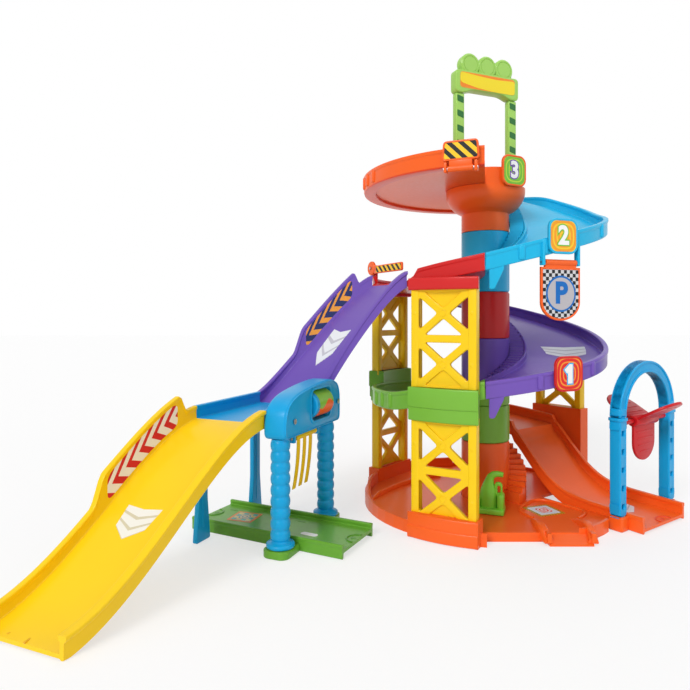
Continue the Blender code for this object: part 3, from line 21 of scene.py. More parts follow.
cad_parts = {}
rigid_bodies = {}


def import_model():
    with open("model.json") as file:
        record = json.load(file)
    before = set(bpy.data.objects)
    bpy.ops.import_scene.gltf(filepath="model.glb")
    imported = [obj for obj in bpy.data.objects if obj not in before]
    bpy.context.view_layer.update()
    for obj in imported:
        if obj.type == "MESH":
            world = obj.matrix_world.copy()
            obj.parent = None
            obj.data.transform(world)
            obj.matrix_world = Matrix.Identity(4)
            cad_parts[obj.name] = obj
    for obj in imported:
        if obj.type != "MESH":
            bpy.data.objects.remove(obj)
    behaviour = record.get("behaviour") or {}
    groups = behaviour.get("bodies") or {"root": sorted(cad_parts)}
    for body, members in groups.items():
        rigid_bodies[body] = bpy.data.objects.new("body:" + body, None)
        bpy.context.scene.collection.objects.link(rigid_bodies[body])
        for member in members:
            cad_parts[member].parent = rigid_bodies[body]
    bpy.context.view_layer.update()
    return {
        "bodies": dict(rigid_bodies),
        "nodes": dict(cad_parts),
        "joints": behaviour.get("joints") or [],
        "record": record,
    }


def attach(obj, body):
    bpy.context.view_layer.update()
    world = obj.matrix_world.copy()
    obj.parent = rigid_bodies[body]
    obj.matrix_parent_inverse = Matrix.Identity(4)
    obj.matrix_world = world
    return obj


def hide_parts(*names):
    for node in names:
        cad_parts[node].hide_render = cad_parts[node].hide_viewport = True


LOG = logging.getLogger("garage")
MM = 0.001
UP = Vector((0.0, 0.0, 1.0))

Colour = tuple[float, float, float]
Outline = list[tuple[float, float]]
Keys = Sequence[tuple[float, float]]
Place = Callable[[float, float, float], Vector]
Mesh = bpy.types.Mesh
Work = bmesh.types.BMesh
Socket = bpy.types.NodeSocket


class Body(Enum):
    """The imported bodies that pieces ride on."""

    GARAGE = "garage"
    TOP_GATE = "top_gate"
    PARKING_SIGN = "parking_sign"
    GATE_ARM = "gate_arm"
    SPINNER = "spinner"
    ROLLER = "wash_roller"
    STRIPS = "wash_strips"


class Pattern(Enum):
    """The printed patterns of the stickers."""

    PLAIN = "plain"
    HAZARD = "hazard"
    CHECKS = "checks"
    RINGS = "rings"
    WAVE = "wave"
    CHEVRONS = "chevrons"
    STRIPES = "stripes"


def polar(radius: float, angle: float, z: float = 0.0) -> Vector:
    """Return the point at a radius and an angle about the column."""
    turn = math.radians(angle)
    return Vector((radius * math.cos(turn), radius * math.sin(turn), z))


def heading(angle: float) -> Vector:
    """Return the level unit vector along an angle."""
    return polar(1.0, angle)


def axes(origin: Vector, x: Vector, y: Vector, z: Vector) -> Matrix:
    """Return the frame at an origin with three given axes."""
    return Matrix.Translation(origin) @ Matrix((x, y, z)).transposed().to_4x4()


def level_frame(origin: Vector, angle: float) -> Matrix:
    """Return a level frame at an origin, with its X along an angle."""
    return axes(origin, heading(angle), heading(angle + 90.0), UP)


def wall_frame(angle: float, radius: float, z: float) -> Matrix:
    """Return a frame on a wall about the column: X along it, Y up, Z outward."""
    return axes(polar(radius, angle, z), heading(angle + 90.0), UP, heading(angle))


def shift(frame: Matrix, x: float = 0.0, y: float = 0.0, z: float = 0.0) -> Matrix:
    """Return a frame moved along its own axes."""
    return frame @ Matrix.Translation((x, y, z))


def rotated(angle: float, axis: str) -> Matrix:
    """Return the turn by an angle about an axis."""
    return Matrix.Rotation(math.radians(angle), 4, axis)


def upright(frame: Matrix) -> Matrix:
    """Return a frame turned so that its XY plane stands up in the old XZ plane."""
    return frame @ rotated(90, "X")


def crosswise(frame: Matrix) -> Matrix:
    """Return a frame turned so that its Z runs along the old X."""
    return frame @ rotated(90, "Y")


def along_keys(value: float, keys: Keys) -> float:
    """Return the height at a value on straight runs between keys.

    Args:
        value: Where to read.
        keys: Pairs of value and height.

    Returns:
        The height, held level past both ends.
    """
    ordered = sorted(keys)
    if value <= ordered[0][0]:
        return ordered[0][1]
    for (start, low), (end, high) in zip(ordered, ordered[1:]):
        if value <= end:
            return low + (high - low) * (value - start) / (end - start)
    return ordered[-1][1]


def eased(value: float, keys: Keys, reach: float, count: int = 8) -> float:
    """Return the height on the same runs with their corners rounded over a reach each side."""
    places = [value + reach * (2 * i / count - 1) for i in range(count + 1)]
    return sum(along_keys(place, keys) for place in places) / (count + 1)


def steps(start: float, end: float, step: float) -> list[float]:
    """Return evenly spaced values from start to end, about a step apart."""
    count = max(1, round(abs(end - start) / step))
    return [start + (end - start) * i / count for i in range(count + 1)]


def arc(radius: float, start: float, end: float, count: int) -> Outline:
    """Return points on an arc about the origin, between two angles."""
    points = [polar(radius, start + (end - start) * i / count) for i in range(count + 1)]
    return [(point.x, point.y) for point in points]


def moved(outline: Outline, x: float, y: float) -> Outline:
    """Return an outline moved over."""
    return [(px + x, py + y) for px, py in outline]


def rounded_rectangle(width: float, height: float, corner: float, count: int = 6) -> Outline:
    """Return a rectangle's outline with round corners, centred on the origin.

    Args:
        width: Its width.
        height: Its height.
        corner: Radius of its corners.
        count: How many edges each corner has.

    Returns:
        The outline.
    """
    x, y = width / 2 - corner, height / 2 - corner
    points: Outline = []
    for cx, cy, start in ((x, y, 0), (-x, y, 90), (-x, -y, 180), (x, -y, 270)):
        points += moved(arc(corner, start, start + 90, count), cx, cy)
    return points


def filleted(outline: Outline, radius: float, count: int = 3) -> Outline:
    """Return a closed outline with each corner rounded.

    Args:
        outline: The corners in order.
        radius: How far from each corner its rounding starts, if the edges are long enough.
        count: How many edges each rounding has.

    Returns:
        The rounded outline.
    """
    points: Outline = []
    size = len(outline)
    for i in range(size):
        here = Vector(outline[i])
        before = Vector(outline[i - 1]) - here
        after = Vector(outline[(i + 1) % size]) - here
        start = here + before.normalized() * min(radius, 0.48 * before.length)
        end = here + after.normalized() * min(radius, 0.48 * after.length)
        for k in range(count + 1):
            t = k / count
            point = start * (1 - t) ** 2 + here * 2 * t * (1 - t) + end * t ** 2
            points.append((point.x, point.y))
    return points


def inset(outline: Outline, distance: float) -> Outline:
    """Return a closed outline moved inward all round, or outward for a negative distance.

    Args:
        outline: The outline.
        distance: How far it moves.

    Returns:
        The moved outline.
    """
    size = len(outline)
    area = sum(outline[i - 1][0] * outline[i][1] - outline[i][0] * outline[i - 1][1]
               for i in range(size))
    side = 1.0 if area > 0 else -1.0
    points: Outline = []
    for i in range(size):
        here = Vector(outline[i])
        before = (here - Vector(outline[i - 1])).normalized()
        after = (Vector(outline[(i + 1) % size]) - here).normalized()
        normal = Vector((-(before.y + after.y), before.x + after.x))
        if normal.length < 1e-9:
            normal = Vector((-before.y, before.x))
        normal.normalize()
        share = max(0.35, normal.dot(Vector((-before.y, before.x))))
        point = here + normal * side * distance / share
        points.append((point.x, point.y))
    return points


def mesh_from(build: Callable[[Work], None]) -> Mesh:
    """Return the mesh that a function makes in a bmesh, with its faces turned outward.

    Args:
        build: Fills the bmesh.

    Returns:
        The mesh.
    """
    work = bmesh.new()
    build(work)
    bmesh.ops.recalc_face_normals(work, faces=work.faces[:])
    mesh = bpy.data.meshes.new("piece")
    work.to_mesh(mesh)
    work.free()
    return mesh


def joined(meshes: Iterable[Mesh]) -> Mesh:
    """Return several meshes as one.

    Args:
        meshes: The meshes.

    Returns:
        The one mesh.
    """
    work = bmesh.new()
    for mesh in meshes:
        work.from_mesh(mesh)
    result = bpy.data.meshes.new("piece")
    work.to_mesh(result)
    work.free()
    return result


def solid_curve(data: bpy.types.Curve, frame: Matrix) -> Mesh:
    """Return the mesh of a curve that lies on a frame's XY plane.

    Args:
        data: The flat curve.
        frame: Where it lies.

    Returns:
        The mesh.
    """
    item = bpy.data.objects.new("outline", data)
    bpy.context.scene.collection.objects.link(item)
    item.matrix_world = frame
    bpy.context.view_layer.update()
    graph = bpy.context.evaluated_depsgraph_get()
    rough = bpy.data.meshes.new_from_object(item.evaluated_get(graph))
    rough.transform(item.matrix_world)
    bpy.data.objects.remove(item, do_unlink=True)

    def build(work: Work) -> None:
        """Take the curve's mesh and join its seams.

        Args:
            work: The mesh under construction.
        """
        work.from_mesh(rough)
        bmesh.ops.remove_doubles(work, verts=work.verts[:], dist=0.002)
    return mesh_from(build)


def plate(outlines: Sequence[Outline], thickness: float, frame: Matrix,
          rounding: float = 0.0) -> Mesh:
    """Return a moulded plate with rounded edges.

    Args:
        outlines: The outer outline, then the holes.
        thickness: The whole thickness, centred on the frame's XY plane.
        frame: Where the plate lies.
        rounding: Radius of its edges.

    Returns:
        The plate's mesh.
    """
    data = bpy.data.curves.new("outline", "CURVE")
    data.dimensions = "2D"
    data.fill_mode = "BOTH"
    data.extrude = max(thickness / 2 - rounding, 0.01)
    data.bevel_depth = rounding
    data.bevel_resolution = 2
    for number, outline in enumerate(outlines):
        kept = inset(outline, -rounding if number else rounding) if rounding else outline
        spline = data.splines.new("POLY")
        spline.points.add(len(kept) - 1)
        for point, (x, y) in zip(spline.points, kept):
            point.co = (x, y, 0.0, 1.0)
        spline.use_cyclic_u = True
    return solid_curve(data, frame)


def glyph(text: str, size: float, frame: Matrix, depth: float, grow: float) -> Mesh:
    """Return a raised figure or letter, centred on a frame's XY plane.

    Args:
        text: The figure.
        size: Its height, roughly.
        frame: Where it lies.
        depth: How thick it is.
        grow: How far its outline is moved outward.

    Returns:
        The figure's mesh.
    """
    data = bpy.data.curves.new("figure", "FONT")
    data.body = text
    data.size = size
    data.align_x = data.align_y = "CENTER"
    data.extrude = depth / 2
    data.offset = grow
    data.resolution_u = 6
    return solid_curve(data, frame)


def sweep(sections: Sequence[Sequence[Vector]]) -> Mesh:
    """Return the closed skin through sections that have the same number of points.

    Args:
        sections: The sections in order, each a closed ring of points.

    Returns:
        The mesh.
    """
    def build(work: Work) -> None:
        """Lay the faces between each pair of sections and close both ends.

        Args:
            work: The mesh under construction.
        """
        rings = [[work.verts.new(point) for point in section] for section in sections]
        count = len(rings[0])
        for first, second in zip(rings, rings[1:]):
            for i in range(count):
                j = (i + 1) % count
                work.faces.new((first[i], first[j], second[j], second[i]))
        work.faces.new(rings[0])
        work.faces.new(rings[-1])
    return mesh_from(build)


def ring_sweep(outline: Outline, turns: Iterable[float]) -> Mesh:
    """Return the body that a (radius, height) outline sweeps over angles about the column."""
    return sweep([[polar(r, turn, z) for r, z in outline] for turn in turns])


def turned(profile: Outline, frame: Matrix, count: int = 64) -> Mesh:
    """Return the body that a closed (radius, height) outline sweeps about a frame's Z.

    Args:
        profile: The outline.
        frame: Where it turns.
        count: How many faces it has round.

    Returns:
        The mesh.
    """
    def build(work: Work) -> None:
        """Turn the outline and drop the faces that shrink to nothing on the axis.

        Args:
            work: The mesh under construction.
        """
        rings = []
        for i in range(count):
            turn = 360 * i / count
            rings.append([work.verts.new(frame @ polar(r, turn, h)) for r, h in profile])
        size = len(profile)
        for i in range(count):
            for k in range(size):
                n = (k + 1) % size
                if profile[k][0] or profile[n][0]:
                    after = rings[(i + 1) % count]
                    work.faces.new((rings[i][k], rings[i][n], after[n], after[k]))
        bmesh.ops.remove_doubles(work, verts=work.verts[:], dist=0.001)
    return mesh_from(build)


def barrel(half: float, frame: Matrix, count: int = 40) -> Mesh:
    """Return the sleeve of a hinge about a frame's X.

    Args:
        half: Half its length.
        frame: Its middle.
        count: How many faces it has round.

    Returns:
        The mesh.
    """
    profile = [(HINGE_BORE, -half), (HINGE_RADIUS, -half), (HINGE_RADIUS, half),
               (HINGE_BORE, half)]
    return turned(profile, crosswise(frame), count)


def block(size: Sequence[float], frame: Matrix, rounding: float) -> Mesh:
    """Return a moulded block with rounded edges, centred on a frame.

    Args:
        size: Its whole sizes.
        frame: Its middle and its directions.
        rounding: Radius of its edges.

    Returns:
        The mesh.
    """
    def build(work: Work) -> None:
        """Make the block and round its edges.

        Args:
            work: The mesh under construction.
        """
        bmesh.ops.create_cube(work, size=1.0, matrix=Matrix.Diagonal((*size, 1.0)))
        bmesh.ops.bevel(work, geom=work.edges[:], offset=min(rounding, 0.45 * min(size)),
                        segments=3, affect="EDGES", profile=0.5)
        bmesh.ops.transform(work, matrix=frame, verts=work.verts[:])
    return mesh_from(build)


PRINT_LIFT = 0.12
PRINT_DEPTH = 0.3
HINGE_BORE = 1.8
HINGE_RADIUS = 3.0


def sheet(grid: Callable[[float], list], sink: float) -> Mesh:
    """Return a thin closed sheet laid on a surface, with its print layer.

    Args:
        grid: Gives, at a lift, rows of points, each with its place on the print.
        sink: How deep the sheet reaches into the surface.

    Returns:
        The sheet's mesh.
    """
    def build(work: Work) -> None:
        """Lay the upper and the under skin and join them round the edge.

        Args:
            work: The mesh under construction.
        """
        layer = work.loops.layers.uv.new("print")
        marks = {}
        skins = []
        for lift in (PRINT_LIFT, -sink):
            skin = []
            for row in grid(lift):
                skin.append([work.verts.new(point) for point, _ in row])
                marks.update(zip(skin[-1], (mark for _, mark in row)))
            skins.append(skin)
        top, under = skins
        last, side = len(top) - 1, len(top[0]) - 1
        for skin in skins:
            for i in range(last):
                for k in range(side):
                    work.faces.new((skin[i][k], skin[i + 1][k], skin[i + 1][k + 1],
                                    skin[i][k + 1]))
        for i in range(last):
            for k in (0, side):
                work.faces.new((top[i][k], top[i + 1][k], under[i + 1][k], under[i][k]))
        for i in (0, last):
            for k in range(side):
                work.faces.new((top[i][k], top[i][k + 1], under[i][k + 1], under[i][k]))
        for face in work.faces:
            for loop in face.loops:
                loop[layer].uv = marks[loop.vert]
    return mesh_from(build)


def chevron(place: Place, length: float, half: float, point: float) -> Mesh:
    """Return an arrow-shaped sticker laid on a surface.

    Args:
        place: Gives the point at a distance along, a distance across and a lift.
        length: Width of its band along the surface.
        half: Half its reach across.
        point: How far its tip leads its arms.

    Returns:
        The sticker's mesh.
    """
    rows, columns = 10, 5

    def grid(lift: float) -> list:
        """Return the sticker's points at a lift, arm end to arm end.

        Args:
            lift: How far the points stand off the surface.

        Returns:
            Rows of points, each with its place on the print.
        """
        lines = []
        for i in range(-rows, rows + 1):
            across = i / rows
            lead = point * (1 - abs(across))
            shares = [k / columns for k in range(columns + 1)]
            lines.append([(place(lead * (0.2 + 0.8 * share) + length * (share - 0.5),
                                 half * across * (1 - 0.16 * share), lift), (share, across))
                          for share in shares])
        return lines
    return sheet(grid, 0.5)


def laid(place: Place, length: float, height: float, corner: float, columns: int = 24,
         rows: int = 6) -> Mesh:
    """Return a sticker with round corners, laid on a surface.

    Args:
        place: Gives the point at a distance along, a distance across and a lift.
        length: Its size along.
        height: Its size across.
        corner: Radius of its corners.
        columns: Number of faces along.
        rows: Number of faces across.

    Returns:
        The sticker's mesh.
    """
    ends = [corner * (1 - math.cos(math.pi * i / 12)) for i in range(6)]
    inner = steps(corner, length - corner, (length - 2 * corner) / columns)
    stations = ends + inner + [length - end for end in reversed(ends)]

    def grid(lift: float) -> list:
        """Return the sticker's points at a lift, trimmed at the corners.

        Args:
            lift: How far the points stand off the surface.

        Returns:
            Rows of points, each with its place on the print.
        """
        lines = []
        for s in stations:
            lack = max(0.0, corner - min(s, length - s))
            trim = corner - math.sqrt(max(0.0, corner ** 2 - lack ** 2))
            ups = [trim + (height - 2 * trim) * k / rows for k in range(rows + 1)]
            lines.append([(place(s, u, lift), (s - length / 2, u - height / 2)) for u in ups])
        return lines
    return sheet(grid, 0.4)


def print_layer(mesh: Mesh, frame: Matrix) -> Mesh:
    """Return a mesh with a UV layer that holds its places in a frame's XY plane.

    Args:
        mesh: The mesh.
        frame: The frame of the print.

    Returns:
        The same mesh.
    """
    back = frame.inverted()
    layer = mesh.uv_layers.new(name="print")
    for loop in mesh.loops:
        place = back @ mesh.vertices[loop.vertex_index].co
        layer.data[loop.index].uv = (place.x, place.y)
    return mesh


class Wiring:
    """A shader node tree under construction."""

    def __init__(self, tree: bpy.types.NodeTree) -> None:
        """Keep the tree."""
        self.tree = tree

    def node(self, kind: str, **settings: object) -> bpy.types.Node:
        """Return a new shader node with its settings.

        Args:
            kind: The node's type.
            settings: Values of its settings.

        Returns:
            The node.
        """
        made = self.tree.nodes.new(kind)
        for name, value in settings.items():
            setattr(made, name, value)
        return made

    def feed(self, node: bpy.types.Node, **values: object) -> bpy.types.Node:
        """Link outputs to a node's inputs, or set the inputs' own values, and return the node.

        Args:
            node: The node.
            values: Outputs or values, with _ for a blank in an input's name.

        Returns:
            The node.
        """
        for name, value in values.items():
            socket = node.inputs[name.replace("_", " ")]
            if isinstance(value, Socket):
                self.tree.links.new(value, socket)
            else:
                socket.default_value = value
        return node

    def join(self, node: bpy.types.Node, *values: object) -> bpy.types.Node:
        """Do the same for a node's first inputs, in order, and return the node.

        Args:
            node: The node.
            values: Outputs or values.

        Returns:
            The node.
        """
        for socket, value in zip(node.inputs, values):
            if isinstance(value, Socket):
                self.tree.links.new(value, socket)
            else:
                socket.default_value = value
        return node

    def sum(self, operation: str, first: object, second: object = 0.0) -> Socket:
        """Return the output of a maths node."""
        made = self.node("ShaderNodeMath", operation=operation)
        return self.join(made, first, second).outputs[0]

    def noise(self, place: Socket, scale: float, detail: float = 2.0) -> Socket:
        """Return the value of a cloudy texture at a place."""
        made = self.node("ShaderNodeTexNoise")
        return self.feed(made, Vector=place, Scale=scale, Detail=detail).outputs["Fac"]

    def mix(self, share: Socket, first: bpy.types.Node, second: bpy.types.Node) -> Socket:
        """Return the blend of two shaders."""
        made = self.node("ShaderNodeMixShader")
        return self.join(made, share, first.outputs[0], second.outputs[0]).outputs[0]


def group(name: str, inputs: dict[str, tuple[str, object]], outputs: dict[str, str],
          fill: Callable[[Wiring, bpy.types.Node, bpy.types.Node], None]) -> bpy.types.NodeTree:
    """Return a shader node group, made on first use.

    Args:
        name: The group's name.
        inputs: Socket type and default of each input.
        outputs: Socket type of each output.
        fill: Wires the group between its input and its output node.

    Returns:
        The group.
    """
    tree = bpy.data.node_groups.get(name)
    if tree:
        return tree
    tree = bpy.data.node_groups.new(name, "ShaderNodeTree")
    for label, (kind, value) in inputs.items():
        socket = tree.interface.new_socket(name=label, in_out="INPUT",
                                           socket_type=f"NodeSocket{kind}")
        if value is not None:
            socket.default_value = value
    for label, kind in outputs.items():
        tree.interface.new_socket(name=label, in_out="OUTPUT", socket_type=f"NodeSocket{kind}")
    wiring = Wiring(tree)
    fill(wiring, wiring.node("NodeGroupInput"), wiring.node("NodeGroupOutput"))
    return tree


def moulded_surface() -> bpy.types.NodeTree:
    """Return the group for moulded plastic: a drift in tone, handling marks and soft flow.

    Returns:
        The group.
    """
    def fill(wiring: Wiring, into: bpy.types.Node, out: bpy.types.Node) -> None:
        """Wire the tone, the roughness and the height.

        Args:
            wiring: The group's wiring.
            into: The group's input node.
            out: The group's output node.
        """
        place = wiring.node("ShaderNodeTexCoord").outputs["Object"]
        cloud = wiring.noise(place, 22.0, 3.0)
        marks = wiring.noise(place, 240.0, 4.0)
        grain = wiring.noise(place, 420.0)
        level = wiring.sum("MULTIPLY", wiring.sum("SUBTRACT", cloud, 0.5), into.outputs["Drift"])
        tone = wiring.feed(wiring.node("ShaderNodeHueSaturation"),
                           Color=into.outputs["Colour"], Value=wiring.sum("ADD", level, 1.0))
        rough = wiring.sum("MULTIPLY", wiring.sum("SUBTRACT", marks, 0.5), 0.16)
        fine = wiring.sum("MULTIPLY", wiring.sum("MULTIPLY", grain, into.outputs["Grain"]), 0.02)
        wiring.feed(out, Colour=tone.outputs["Color"],
                    Roughness=wiring.sum("ADD", rough, into.outputs["Gloss"]),
                    Height=wiring.sum("ADD", wiring.sum("MULTIPLY", cloud, 0.5), fine))
    return group("moulded_surface",
                 {"Colour": ("Color", (0.8, 0.8, 0.8, 1.0)), "Drift": ("Float", 0.06),
                  "Gloss": ("Float", 0.3), "Grain": ("Float", 1.0)},
                 {"Colour": "Color", "Roughness": "Float", "Height": "Float"}, fill)


def print_mask(pattern: Pattern) -> bpy.types.NodeTree:
    """Return the group that makes a printed pattern's mask from places in millimetres.

    Args:
        pattern: The pattern.

    Returns:
        The group.
    """
    def fill(wiring: Wiring, into: bpy.types.Node, out: bpy.types.Node) -> None:
        """Wire the value that the pattern repeats over.

        Args:
            wiring: The group's wiring.
            into: The group's input node.
            out: The group's output node.
        """
        place = wiring.join(wiring.node("ShaderNodeSeparateXYZ"), into.outputs["Place"])
        x, y = place.outputs[0], place.outputs[1]
        pitch = into.outputs["Pitch"]
        maths = wiring.sum
        if pattern is Pattern.HAZARD:
            value = maths("DIVIDE", maths("ADD", x, y), pitch)
        elif pattern is Pattern.CHECKS:
            across, up = (maths("FLOOR", maths("DIVIDE", way, pitch)) for way in (x, y))
            value = maths("ADD", maths("MULTIPLY", maths("ADD", across, up), 0.5), 0.25)
        elif pattern is Pattern.RINGS:
            cubes = [maths("POWER", maths("ABSOLUTE", way), 3.0) for way in (x, y)]
            value = maths("DIVIDE", maths("POWER", maths("ADD", *cubes), 1 / 3), pitch)
        elif pattern is Pattern.STRIPES:
            value = maths("DIVIDE", x, pitch)
        elif pattern is Pattern.WAVE:
            swing = maths("MULTIPLY", maths("SINE", maths("DIVIDE", x, pitch)), 0.05)
            value = maths("ADD", swing, maths("MULTIPLY", y, 1 / 90))
            value = maths("SUBTRACT", value, 0.25)
        else:
            value = maths("DIVIDE", maths("ADD", x, maths("ABSOLUTE", y)), pitch)
        wiring.feed(out, Mask=maths("LESS_THAN", maths("FRACT", value), into.outputs["Share"]))
    return group(f"print_{pattern.value}",
                 {"Place": ("Vector", None), "Pitch": ("Float", 10.0), "Share": ("Float", 0.5)},
                 {"Mask": "Float"}, fill)


@dataclass(frozen=True)
class Finish:
    """What every finish has: a name, the slot it stands for and a colour."""

    name: str
    slot: str
    colour: Colour

    def material(self) -> bpy.types.Material:
        """Return the material, made on first use.

        Returns:
            The material.
        """
        made = bpy.data.materials.get(self.name)
        if not made:
            made = bpy.data.materials.new(self.name)
            made.use_nodes = True
            self.wire(Wiring(made.node_tree), made.node_tree.nodes["Principled BSDF"])
        return made

    def surface(self, wiring: Wiring, shader: bpy.types.Node, **values: object) -> bpy.types.Node:
        """Feed the shader from the moulded surface group with its values, and return the group.

        Args:
            wiring: The material's wiring.
            shader: Its shader node.
            values: The group's values.

        Returns:
            The group node.
        """
        made = wiring.node("ShaderNodeGroup", node_tree=moulded_surface())
        wiring.feed(made, **values)
        wiring.feed(shader, Base_Color=made.outputs["Colour"], Roughness=made.outputs["Roughness"])
        return made

    def wire(self, wiring: Wiring, shader: bpy.types.Node) -> None:
        """Wire the material's shader."""
        raise NotImplementedError


@dataclass(frozen=True)
class Plastic(Finish):
    """A moulded plastic of one colour."""

    def material(self) -> bpy.types.Material:
        """Return the material, with its colour in the plain view too."""
        made = super().material()
        made.diffuse_color = (*self.colour, 1.0)
        return made

    def wire(self, wiring: Wiring, shader: bpy.types.Node) -> None:
        """Wire a satin plastic with a faint flow in its surface.

        Args:
            wiring: The material's wiring.
            shader: Its shader node.
        """
        surface = self.surface(wiring, shader, Colour=(*self.colour, 1.0), Drift=0.10, Gloss=0.33)
        bump = wiring.feed(wiring.node("ShaderNodeBump"), Strength=0.12, Distance=0.6 * MM,
                           Height=surface.outputs["Height"])
        wiring.feed(shader, Normal=bump.outputs["Normal"], Specular_IOR_Level=0.22,
                    Coat_Weight=0.08, Coat_Roughness=0.12)


@dataclass(frozen=True)
class Steel(Finish):
    """Bright turned steel of pins and screws."""

    def wire(self, wiring: Wiring, shader: bpy.types.Node) -> None:
        """Wire a bright metal."""
        self.surface(wiring, shader, Colour=(*self.colour, 1.0), Gloss=0.28)
        wiring.feed(shader, Metallic=1.0)


@dataclass(frozen=True)
class Printed(Finish):
    """A glossy sticker with a pattern of its own colour and a second one."""

    second: Colour = (0.86, 0.86, 0.86)
    pattern: Pattern = Pattern.PLAIN
    pitch: float = 10.0
    share: float = 0.5

    def wire(self, wiring: Wiring, shader: bpy.types.Node) -> None:
        """Wire the two colours through the pattern's mask.

        Args:
            wiring: The material's wiring.
            shader: Its shader node.
        """
        colour: object = (*self.colour, 1.0)
        if self.pattern is not Pattern.PLAIN:
            place = wiring.node("ShaderNodeUVMap", uv_map="print").outputs["UV"]
            mask = wiring.node("ShaderNodeGroup", node_tree=print_mask(self.pattern))
            wiring.feed(mask, Place=place, Pitch=self.pitch, Share=self.share)
            blend = wiring.node("ShaderNodeMix", data_type="RGBA")
            wiring.feed(blend, Factor=mask.outputs["Mask"])
            blend.inputs[6].default_value = (*self.second, 1.0)
            blend.inputs[7].default_value = colour
            colour = blend.outputs[2]
        self.surface(wiring, shader, Drift=0.05, Gloss=0.34, Grain=0.4, Colour=colour)
        wiring.feed(shader, Specular_IOR_Level=0.2, Coat_Weight=0.05)


ORANGE = Plastic("moulded_orange", "orange_plastic", (0.90, 0.125, 0.014))
# A darker copy of the orange: painted shade, used under the deck's edge and on the exit road's end
# notch.
PAINTED_SHADE_ORANGE = Plastic("moulded_orange_painted_shade", "orange_plastic", (0.80, 0.065, 0.012))
GREEN = Plastic("moulded_green", "green_plastic", (0.19, 0.46, 0.045))
# Dark green for the sign posts' inset marks: painted shade in the insets.
PAINTED_SHADE_DARK_GREEN = Plastic("moulded_dark_green_painted_shade", "green_plastic", (0.015, 0.15, 0.025))
ROAD_GREEN = Plastic("moulded_road_green", "green_plastic", (0.13, 0.36, 0.032))
# A darker copy of the road green: painted shade for the road's slots and end notches.
PAINTED_SHADE_GREEN = Plastic("moulded_road_green_painted_shade", "green_plastic", (0.085, 0.27, 0.022))
LIGHT_GREEN = Plastic("moulded_light_green", "light_green_plastic", (0.33, 0.61, 0.11))
PUMP_GREEN = Plastic("moulded_pump_green", "light_green_plastic", (0.20, 0.58, 0.04))
PURPLE = Plastic("moulded_purple", "purple_plastic", (0.165, 0.085, 0.43))
RED = Plastic("moulded_red", "red_plastic", (0.62, 0.018, 0.018))
BLUE = Plastic("moulded_sky_blue", "blue_plastic", (0.010, 0.45, 0.74))
BRIDGE_BLUE = Plastic("moulded_bridge_blue", "bridge_blue_plastic", (0.003, 0.35, 0.70))
YELLOW = Plastic("moulded_yellow", "yellow_plastic", (0.92, 0.60, 0.006))
# A darker copy of the yellow: painted shade for the yellow ramp's end notch.
PAINTED_SHADE_YELLOW = Plastic("moulded_yellow_painted_shade", "yellow_plastic", (0.80, 0.42, 0.006))
SPINNER_RED = Plastic("moulded_spinner_red", "spinner_red_plastic", (0.55, 0.008, 0.012))
STEEL = Steel("pin_steel", "steel", (0.52, 0.52, 0.54))

BLACK = (0.012, 0.012, 0.014)
HAZARD_YELLOW = (0.93, 0.56, 0.02)


def hazard(name: str, pitch: float) -> Printed:
    """Return a print of slanted black and yellow stripes."""
    return Printed(name, "orange_plastic", BLACK, HAZARD_YELLOW, Pattern.HAZARD, pitch)


HAZARD = hazard("print_hazard", 11.0)
ARM_HAZARD = hazard("print_arm_hazard", 9.0)
HAZARD_EDGE = hazard("print_sticker_edge", 3.4)
CHECKS = Printed("print_checks", "orange_plastic", BLACK, (0.62, 0.62, 0.63), Pattern.CHECKS, 3.5)
PLAIN_WHITE = Printed("print_white", "orange_plastic", (0.86, 0.86, 0.86))
FLOOR_WHITE = Printed("print_road_white", "purple_plastic", (0.80, 0.80, 0.82),
                      (0.55, 0.53, 0.58), Pattern.STRIPES, 0.36, 0.72)
YELLOW_WHITE = Printed("print_ramp_white", "yellow_plastic", (0.82, 0.80, 0.72),
                       (0.62, 0.56, 0.38), Pattern.STRIPES, 0.36, 0.72)
SIGN_ORANGE = Printed("print_sign_orange", "light_green_plastic", (0.86, 0.24, 0.02))
SIGN_YELLOW = Printed("print_sign_yellow", "light_green_plastic", (0.86, 0.68, 0.02))
SIGN_GREY = Printed("print_sign_grey", "orange_plastic", (0.47, 0.45, 0.48))
RING_BLUE = Printed("print_ring_blue", "orange_plastic", (0.005, 0.14, 0.48))
PURPLE_CHEVRONS = Printed("print_purple_chevrons", "purple_plastic", (0.02, 0.03, 0.12),
                          (0.83, 0.33, 0.05), Pattern.CHEVRONS, 12.5, 0.55)
YELLOW_CHEVRONS = Printed("print_yellow_chevrons", "yellow_plastic", (0.62, 0.02, 0.03),
                          (0.84, 0.83, 0.80), Pattern.CHEVRONS, 13.5, 0.45)
ROLLER_PRINT = Printed("print_roller", "green_plastic", (0.22, 0.52, 0.05), (0.86, 0.14, 0.02),
                       Pattern.WAVE, 5.5)
RINGS_ONE = Printed("print_rings_one", "orange_plastic", (0.72, 0.02, 0.02), (0.88, 0.28, 0.03),
                    Pattern.RINGS, 4.0, 0.65)
RINGS_TWO = Printed("print_rings_two", "orange_plastic", (0.86, 0.32, 0.02), (0.88, 0.56, 0.03),
                    Pattern.RINGS, 4.2, 0.6)
RINGS_THREE = Printed("print_rings_three", "orange_plastic", (0.18, 0.50, 0.04),
                      (0.50, 0.68, 0.05), Pattern.RINGS, 4.2, 0.7)
EDGE_BLUE = Printed("print_edge_blue", "orange_plastic", (0.02, 0.42, 0.78))
EDGE_GREEN = Printed("print_edge_green", "orange_plastic", (0.18, 0.50, 0.04))
EDGE_PURPLE = Printed("print_edge_purple", "orange_plastic", (0.16, 0.04, 0.38))
STICKER_BLUE = Printed("print_sticker_blue", "orange_plastic", (0.66, 0.80, 0.86))
